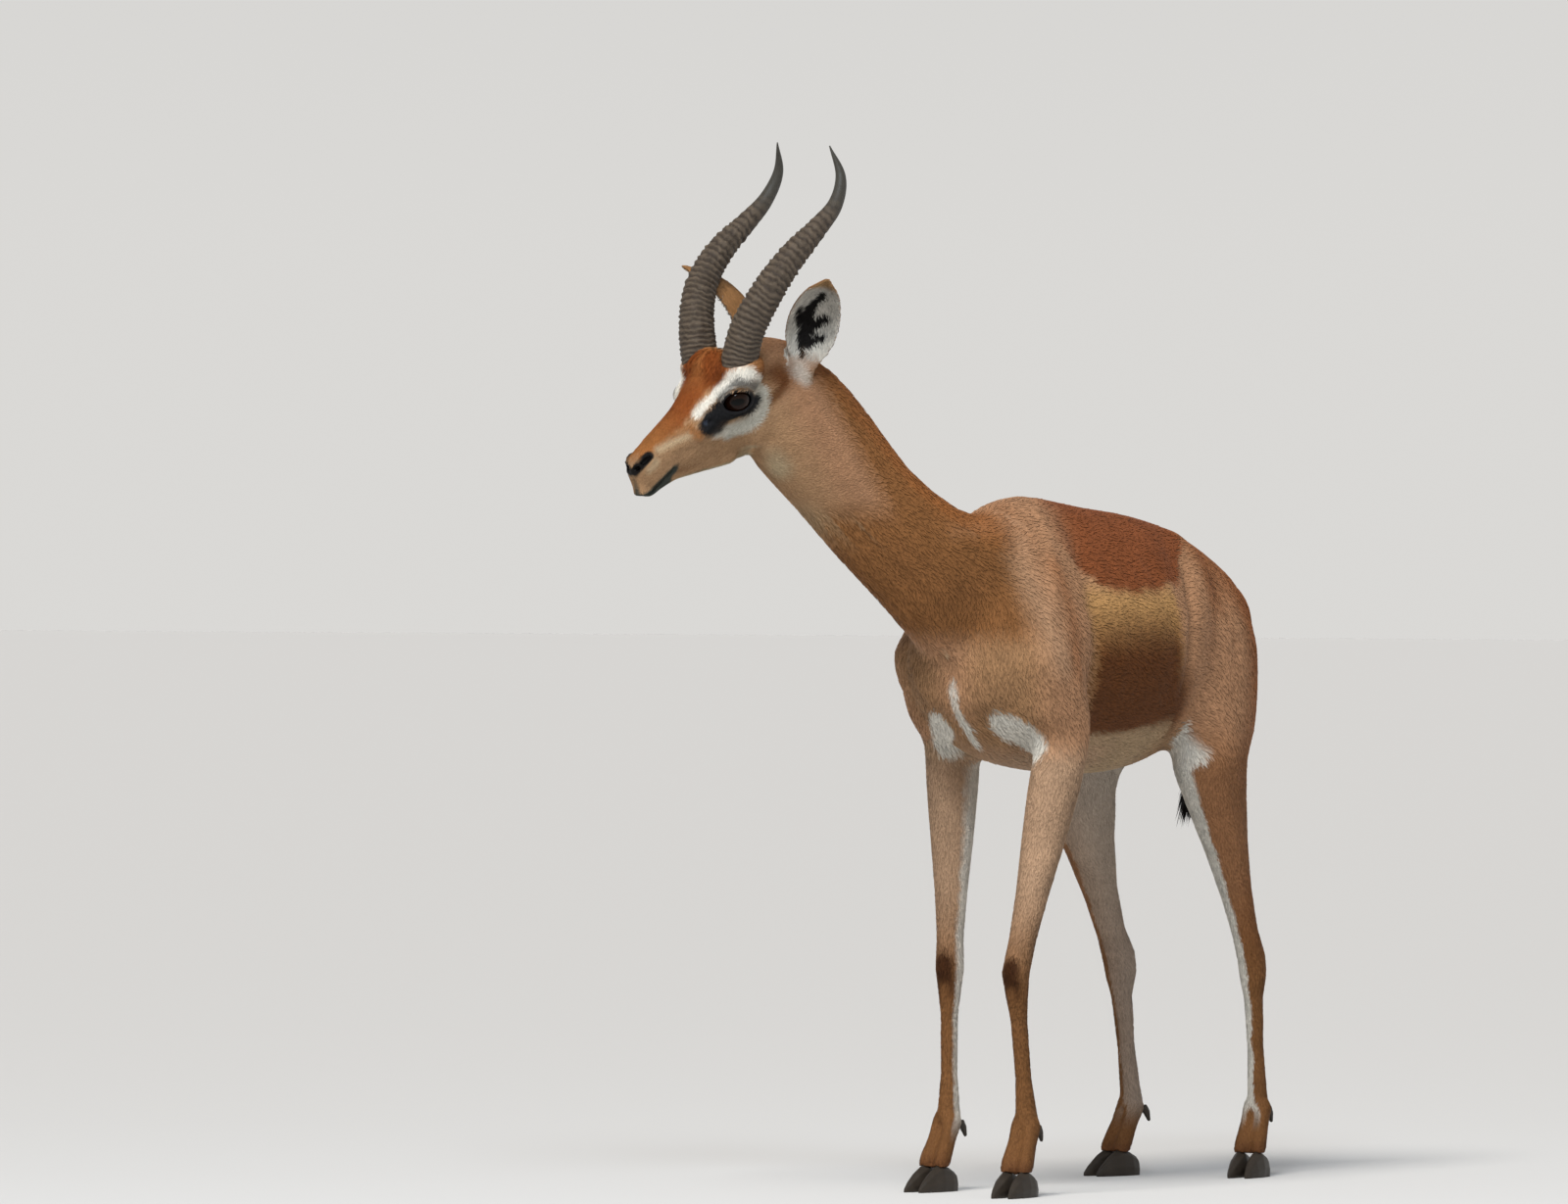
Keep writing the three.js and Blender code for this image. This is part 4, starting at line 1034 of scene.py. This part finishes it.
def unrolled(name, a, h, n, at, inside):
    """Places in 0 to 1 on a map that unrolls the skin of a region round its own line."""
    turn = 2 * math.pi
    if name.endswith("side"):
        angle = np.arctan2(a[:, 2] - 700, np.abs(a[:, 1])) / math.pi
        return np.stack([(a[:, 0] + 400) / 820, angle + 0.5], 1)
    if name == "coat_neck":
        along = near_line(a, NECK_LINE)[1]
        side = np.cross(NECK_UP, NECK_WAY)
        return np.stack([along, np.arctan2(n @ NECK_UP, n @ side) / turn + 0.5], 1)
    if name.endswith("legs"):
        angle = np.arctan2(n[:, 1], n[:, 0]) / turn + 0.5
        return np.stack([0.5 * (a[:, 1] < 0) + 0.5 * (0.02 + 0.96 * angle), a[:, 2] / 640], 1)
    if name == "coat_head":
        angle = np.arctan2(h[:, 2] + 15, h[:, 1]) / turn
        return np.stack([(h[:, 0] - HEAD_BACK) / 340, angle + 0.5], 1)
    strip = 0.25 * ((h[:, 1] < 0) * 2 + (inside > 0.5))
    return np.stack([strip + 0.25 * np.clip((at[:, 1] + 46) / 92, 0.03, 0.97), at[:, 0] / 190], 1)


draw = np.random.default_rng(7)
skin_mesh.calc_loop_triangles()
corners = np.empty(len(skin_mesh.loop_triangles) * 3, np.int32)
skin_mesh.loop_triangles.foreach_get("vertices", corners)
corners = corners.reshape(-1, 3)
p0, p1, p2 = (skin_at[corners[:, k]] for k in range(3))
face_turn = np.cross(p1 - p0, p2 - p0)
face_area = np.linalg.norm(face_turn, axis=1) / 2
face_middle = (p0 + p1 + p2) / 3
face_head = to_head(face_middle)
face_region, in_ear = regions_of(face_middle, face_head, unit(face_turn))


def hair_size(region, a, h, inside):
    """Length and half width of the tufts at each place."""
    long = np.full(len(a), 13.0)
    long = np.where(region == "coat_neck", 12.0, long)
    long = np.where(np.char.endswith(region, "legs"), 8.5 - 3 * ramp(150 - a[:, 2], 0, 90), long)
    face = 6.0 - 2.6 * ramp(h[:, 0], 20, 130)
    face = face + crown_share(h) * 5.0
    long = np.where(region == "coat_head", face, long)
    long = np.where(region == "coat_ears", 7.0 + 1.5 * inside, long)
    half = np.where(region == "coat_head", 0.62, np.where(region == "coat_ears", 0.7, long * 0.105))
    return long, half


long, half = hair_size(face_region, face_middle, face_head, in_ear)
weight = face_area * 1.55 / (long * half)
weight *= 1 - np.clip(skin_bare[corners].mean(1) * 1.6, 0, 1)
eye_far = np.linalg.norm(both_sides(face_head) - np.array(EYE["place"]), axis=1)
weight *= (eye_far > 22.5) * (face_middle[:, 2] > 40)
for name in np.unique(face_region):
    here = face_region == name
    weight[here] *= min(1.0, MOST_TUFTS / weight[here].sum())
total = np.cumsum(weight)
tufts = int(total[-1])
chosen = np.minimum(np.searchsorted(total, np.arange(tufts) + draw.random(tufts)), len(total) - 1)
u, v = draw.random((2, tufts))
over_edge = u + v > 1
u[over_edge], v[over_edge] = 1 - u[over_edge], 1 - v[over_edge]
share = np.stack([1 - u - v, u, v], 1)


def at_roots(values):
    """The skin's values at the places chosen on its triangles."""
    return sum(share[:, k, None] * values[corners[chosen, k]] for k in range(3))


root, root_way, root_tint = at_roots(skin_at), unit(at_roots(skin_way)), at_roots(skin_tint)
root_head = to_head(root)
region = face_region[chosen]
_, inside, at = ear_shares(root_head, root_way @ HEAD_WAY)
long, half = hair_size(region, root, root_head, inside)
long = long * draw.uniform(0.75, 1.2, tufts)
flow = lie_of(root, root_way)
aside = np.cross(root_way, flow)
flow = unit(flow + aside * (draw.normal(0, 0.16, tufts) + 0.22 * ripple(root, 60, 21))[:, None])


def laid(places, fallback, height):
    """Places brought down onto the skin and raised by a height, and where the skin there turns away."""
    out, ways = np.empty_like(places), np.empty_like(places)
    for k, place in enumerate(places):
        hit, way, _, _ = skin_cover.find_nearest(place)
        ways[k] = way
        out[k] = hit
    lost = (ways * fallback).sum(1) < 0.15
    ways[lost] = fallback[lost]
    return out + ways * height[:, None], lost


thick = np.clip(long * 0.035, 0.22, 0.5)
stand = np.where(draw.random(tufts) < 0.06, 1.6, 1.0)
crown = crown_share(root_head) * (region == "coat_head")
lift = (0.35 + 0.045 * long) * stand + 1.6 * crown + 0.8 * inside * (region == "coat_ears")
middle, lost = laid(root + flow * (long * 0.52)[:, None], root_way, 0.35 + lift * 0.35)
tip, lost_tip = laid(root + flow * long[:, None], root_way, 0.1 + lift)
short = root + flow * 1.6 + root_way * 0.35
middle[lost] = ((root + short) / 2 + root_way * 0.25)[lost]
tip[lost] = short[lost]
past = lost_tip & ~lost
middle[past] = ((root + middle) / 2)[past]
tip[past] = (2 * middle - root + root_way * 0.2)[past]
paths = np.stack([root - root_way * 0.25, middle, tip], 1)
tone = (1 + draw.normal(0, 0.085, tufts))[:, None]
shades = [root_tint * tone * 0.8, root_tint * tone, root_tint * tone * 1.12]
for name in np.unique(region):
    here = region == name
    places = unrolled(name, root[here], root_head[here], root_way[here], at[here], inside[here])
    mesh = strand_mesh(
        name, paths[here], root_way[here, None], half[here, None], thick[here, None],
        [shade[here] for shade in shades], np.clip(places, 0.004, 0.996),
    )
    finished(name, mesh, locks.made)


# The tail's brush, in long tapered locks that bend as they hang.

LOCKS, STATIONS, COLUMNS = 620, 6, 23
along = draw.uniform(0.0, 1.0, LOCKS) ** 0.9
line = curve_points([(-373, -31, 628), (-368, -40, 600), (-360, -48, 575), (-352, -56, 552)], 60)
centre = line[(along * 59).astype(int)]
angle = draw.uniform(0, 2 * math.pi, LOCKS)
away = np.stack([np.cos(angle), np.sin(angle), np.zeros(LOCKS)], 1)
flare = away * draw.uniform(0.02, 0.16, LOCKS)[:, None] + [0.04, 0.06, -1]
brown, black = np.array(TAIL_BROWN) * 0.5, np.array(BLACK) * 1.8
mix = (ramp(0.3 - along, 0, 0.3) * draw.random(LOCKS))[:, None]
lengths = draw.uniform(58, 96, LOCKS)
halves = draw.uniform(1.1, 2.0, LOCKS)
sag = away * draw.uniform(-9, 3, LOCKS)[:, None] + [14, -5, -4]
colours = (black + mix * (brown - black)) * draw.uniform(0.7, 1.4, (LOCKS, 1))
t = np.linspace(0, 1, STATIONS)
straight = unit(flare)[:, None] * (lengths[:, None] * t)[..., None]
path = (centre + away * 2.6)[:, None] + straight + sag[:, None] * (t**2)[None, :, None]
half = halves[:, None] * np.sin(np.pi * np.clip(t[1:-1] * 0.8 + 0.16, 0, 1)) ** 0.8
row, column = np.divmod(np.arange(LOCKS), COLUMNS)
places = np.stack([(column + 0.5) / COLUMNS, (row + 0.5) / (LOCKS // COLUMNS + 1)], 1)
shades = [colours * (0.8 + 0.35 * k) for k in t]
mesh = strand_mesh("tail_brush", path, away[:, None], half, half * 0.35, shades, places)
finished("tail_brush", mesh, locks.made)

# Horns: rings crowd the lower two thirds and fade towards a smooth dark tip.

horn_coat = Finish("horn_ringed", **{"Specular IOR Level": 0.4})
furrow = horn_coat.noise(95, detail=5, rough=0.62)
ring_field = horn_coat.field("ring")
tip_field = horn_coat.field("tip")
# The ring colours are painted darker to match the shade on the near horn's far side: painted shade, on both
# horns. Between the rings the colour is darker than on their ridges.
wear_and_shade = horn_coat.mixed(ring_field, (0.022, 0.014, 0.009), (0.13, 0.096, 0.066))
wear_and_shade = horn_coat.mixed(horn_coat.math("MULTIPLY", furrow, 0.7), wear_and_shade, (0.05, 0.036, 0.025))
patchy = horn_coat.noise(330, (1, 1, 0.35), detail=5, rough=0.7)
flecks = horn_coat.math("MULTIPLY_ADD", patchy, 5.0, -2.9)
wear_and_shade = horn_coat.mixed(flecks, wear_and_shade, (0.2, 0.165, 0.105))
horn_coat.paint(horn_coat.mixed(tip_field, wear_and_shade, (0.042, 0.038, 0.03)))
horn_coat.gloss(horn_coat.math("MULTIPLY_ADD", tip_field, -0.22, 0.66))
fine_lines = horn_coat.noise(700, detail=4, rough=0.6)
horn_coat.relief(horn_coat.math("ADD", furrow, horn_coat.math("MULTIPLY", fine_lines, 0.4)), 0.0014, 0.7)

RINGS, SIDES = 330, 64
HEAD_LEFT = HEAD_WAY[:, 1]
for name in ("horn_left", "horn_right"):
    stations = np.column_stack([HORN_LINE, HORN_THICK]) * [1, hand_of(name), 1, 1]
    path = curve_points(stations, 900)
    run = np.r_[0, np.cumsum(np.linalg.norm(np.diff(path[:, :3], axis=0), axis=1))]
    even = np.linspace(0, run[-1], RINGS)
    path = np.column_stack([np.interp(even, run, path[:, k]) for k in range(4)])
    centres, radii = from_head(path[:, :3]), np.maximum(path[:, 3], 0.5)
    mesh = tube(name, to_frame(centres), radii / MM, SIDES, 0.86, HEAD_LEFT)
    at = to_animal(points_of(mesh))
    near = np.minimum(np.arange(len(at)) // SIDES, RINGS - 1)
    away = unit(at - centres[near])
    s = even[near]
    spin = np.arctan2(away @ HEAD_LEFT, away @ unit(np.cross(HEAD_LEFT, [0, 0, 1.0])))
    share = s / run[-1]
    spacing = np.interp(even, [0, 90, 200, run[-1]], [5.2, 7.0, 10.5, 14])
    phase = np.cumsum(np.r_[0, np.diff(even)] / spacing)[near] * 2 * math.pi
    phase += 1.1 * ripple(at, 24, 31) + 0.6 * np.sin(spin * 3 + s / 11) + 0.7 * ripple(at, 8, 33)
    wave = (0.5 + 0.5 * np.sin(phase)) ** 1.4
    fade = ramp(0.76 - share, 0, 0.2)
    broken = 0.75 + 0.35 * ripple(at, 12, 35)
    height = (wave - 0.5) * np.interp(share, [0, 0.15, 0.4, 0.7], [1.5, 2.2, 2.9, 1.6]) * fade * broken
    height += fade * (0.45 * ripple(at, 7, 36) + 0.3 * np.sin(spin * 17 + ripple(at, 30, 37) * 2))
    height *= ramp(s, 0, 6)
    put_points(mesh, to_frame(at + away * height[:, None]))
    set_field(mesh, "ring", np.clip(wave**0.45 * (0.8 + 0.2 * ripple(at, 15, 38)), 0, 1))
    set_field(mesh, "tip", ramp(share, 0.66, 0.84))
    finished(name + "_ringed", mesh, horn_coat.made, [name])

# Eyes: a dark brown iris round a level pupil, under a wet surface.

wet = Finish("eye_wet", **{"Roughness": 0.05, "IOR": 1.34, "Specular IOR Level": 0.3})
rays = wet.noise(420, detail=4)
iris = wet.mixed(rays, (0.005, 0.002, 0.0012), (0.02, 0.007, 0.003))
ring = wet.mixed(wet.field("rim"), iris, (0.004, 0.0035, 0.004))
wet.paint(wet.mixed(wet.field("pupil"), ring, (0.0, 0.0, 0.0)))
for name in ("eye_left", "eye_right"):
    hand = hand_of(name)
    low, high = (np.array(v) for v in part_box(name))
    middle, radius = (low + high) / 2, (high - low).max() / 2
    bm = bmesh.new()
    bmesh.ops.create_uvsphere(bm, u_segments=72, v_segments=44, radius=radius - 0.0001)
    mesh = mesh_of(name, bm)
    gaze = HEAD_WAY @ (unit(EYE["way"]) * [1, hand, 1])
    slant = HEAD_WAY @ (np.array(EYE["slant"]) * [1, hand, 1])
    slant = unit(slant - gaze * (gaze @ slant))
    p = points_of(mesh)
    way = unit(p)
    bulge = ramp(way @ gaze, 0.78, 0.98) * 0.0006
    put_points(mesh, p + way * bulge[:, None] + middle)
    across, above = way @ slant, way @ np.cross(slant, gaze)
    facing = way @ gaze > 0
    set_field(mesh, "pupil", ramp(-np.hypot(across / 0.42, above / 0.2), -1.08, -0.92) * facing)
    set_field(mesh, "rim", 1 - ramp(way @ gaze, 0.62, 0.74))
    finished(name + "_wet", mesh, wet.made, [name])

# Hooves and dewclaws, rounded and marked with growth rings.

shell = Finish("hoof_shell", **{"Specular IOR Level": 0.25})
growth = shell.noise(130, (6, 6, 1), detail=3)
wear = shell.noise(45, detail=4, rough=0.6)
dark = shell.mixed(growth, (0.006, 0.005, 0.004), (0.026, 0.02, 0.015))
shell.paint(shell.mixed(wear, dark, (0.05, 0.039, 0.029)))
shell.gloss(shell.math("MULTIPLY_ADD", wear, 0.35, 0.3))
shell.relief(growth, 0.0008, 0.6)
for leg in LEGS:
    nodes = [f"{leg}_{kind}_{side}" for kind in ("hoof", "dewclaw") for side in ("outer", "inner")]
    mesh = remeshed(gathered(leg, [(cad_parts[n].data, 0.1) for n in nodes]), HOOF_GRAIN)
    relax(mesh, ramp(points_of(mesh)[:, 2], 0.0012, 0.004), 10, back=0.5)
    p = points_of(mesh)
    p[p[:, 2] < 0.0006, 2] = 0
    put_points(mesh, p)
    finished(leg + "_hooves", with_modifier(mesh, "DECIMATE", ratio=0.35), shell.made, nodes)

# The floor, the light and the camera.

bm = bmesh.new()
bmesh.ops.create_grid(bm, x_segments=1, y_segments=1, size=60)
floor_mesh = mesh_of("floor", bm)
floor = piece("floor", floor_mesh)
PALE_FLOOR = 0.62
ground = Finish("floor", **{"Roughness": 0.9, "Specular IOR Level": 0.0})
ground.paint((PALE_FLOOR, PALE_FLOOR * 0.985, PALE_FLOOR * 0.96))
floor_mesh.materials.append(ground.made)

world = bpy.data.worlds.new("studio")
bpy.context.scene.world = world
world.use_nodes = True
sky_nodes, sky_links = world.node_tree.nodes, world.node_tree.links
sky_way, sky_up, sky_ramp = (
    sky_nodes.new("ShaderNode" + kind) for kind in ("TexCoord", "SeparateXYZ", "ValToRGB")
)
sky_links.new(sky_way.outputs["Generated"], sky_up.inputs[0])
sky_links.new(sky_up.outputs["Z"], sky_ramp.inputs["Fac"])
sky_links.new(sky_ramp.outputs["Color"], sky_nodes["Background"].inputs["Color"])
sky_stops = ((0.02, (0.70, 0.69, 0.67, 1)), (0.5, (0.33, 0.345, 0.37, 1)))
for stop, (height, colour) in zip(sky_ramp.color_ramp.elements, sky_stops):
    stop.position, stop.color = height, colour

sun_data = bpy.data.lights.new("window", "SUN")
sun_data.energy = 2.9
sun_data.angle = math.radians(24)
sun_data.color = (1.0, 0.975, 0.94)
sun = piece("window", sun_data)
sun.visible_glossy = False
sun.rotation_euler = Vector((0.75, 0.1, 1.0)).to_track_quat("Z", "Y").to_euler()
bpy.context.scene.view_settings.view_transform = "Standard"

glint_data = bpy.data.lights.new("glint", "AREA")
glint_data.size = 0.8
glint_data.energy = 55
glint_data.color = (0.8, 0.9, 1.0)
glint = piece("glint", glint_data)
glint.location = (2.6, 1.5, 3.2)
glint.rotation_euler = (glint.location - Vector((0.45, -0.1, 1.0))).to_track_quat("Z", "Y").to_euler()

camera_data = bpy.data.cameras.new("camera")
camera_data.sensor_width = 36
camera_data.lens = 298.7
camera_data.clip_end = 200
camera = piece("camera", camera_data)
camera.location = (14.4893, 8.5504, 0.8897)
aim = Vector((-0.010, -0.2872, 0.7597))
camera.rotation_euler = (aim - camera.location).to_track_quat("-Z", "Y").to_euler()
bpy.context.scene.camera = camera
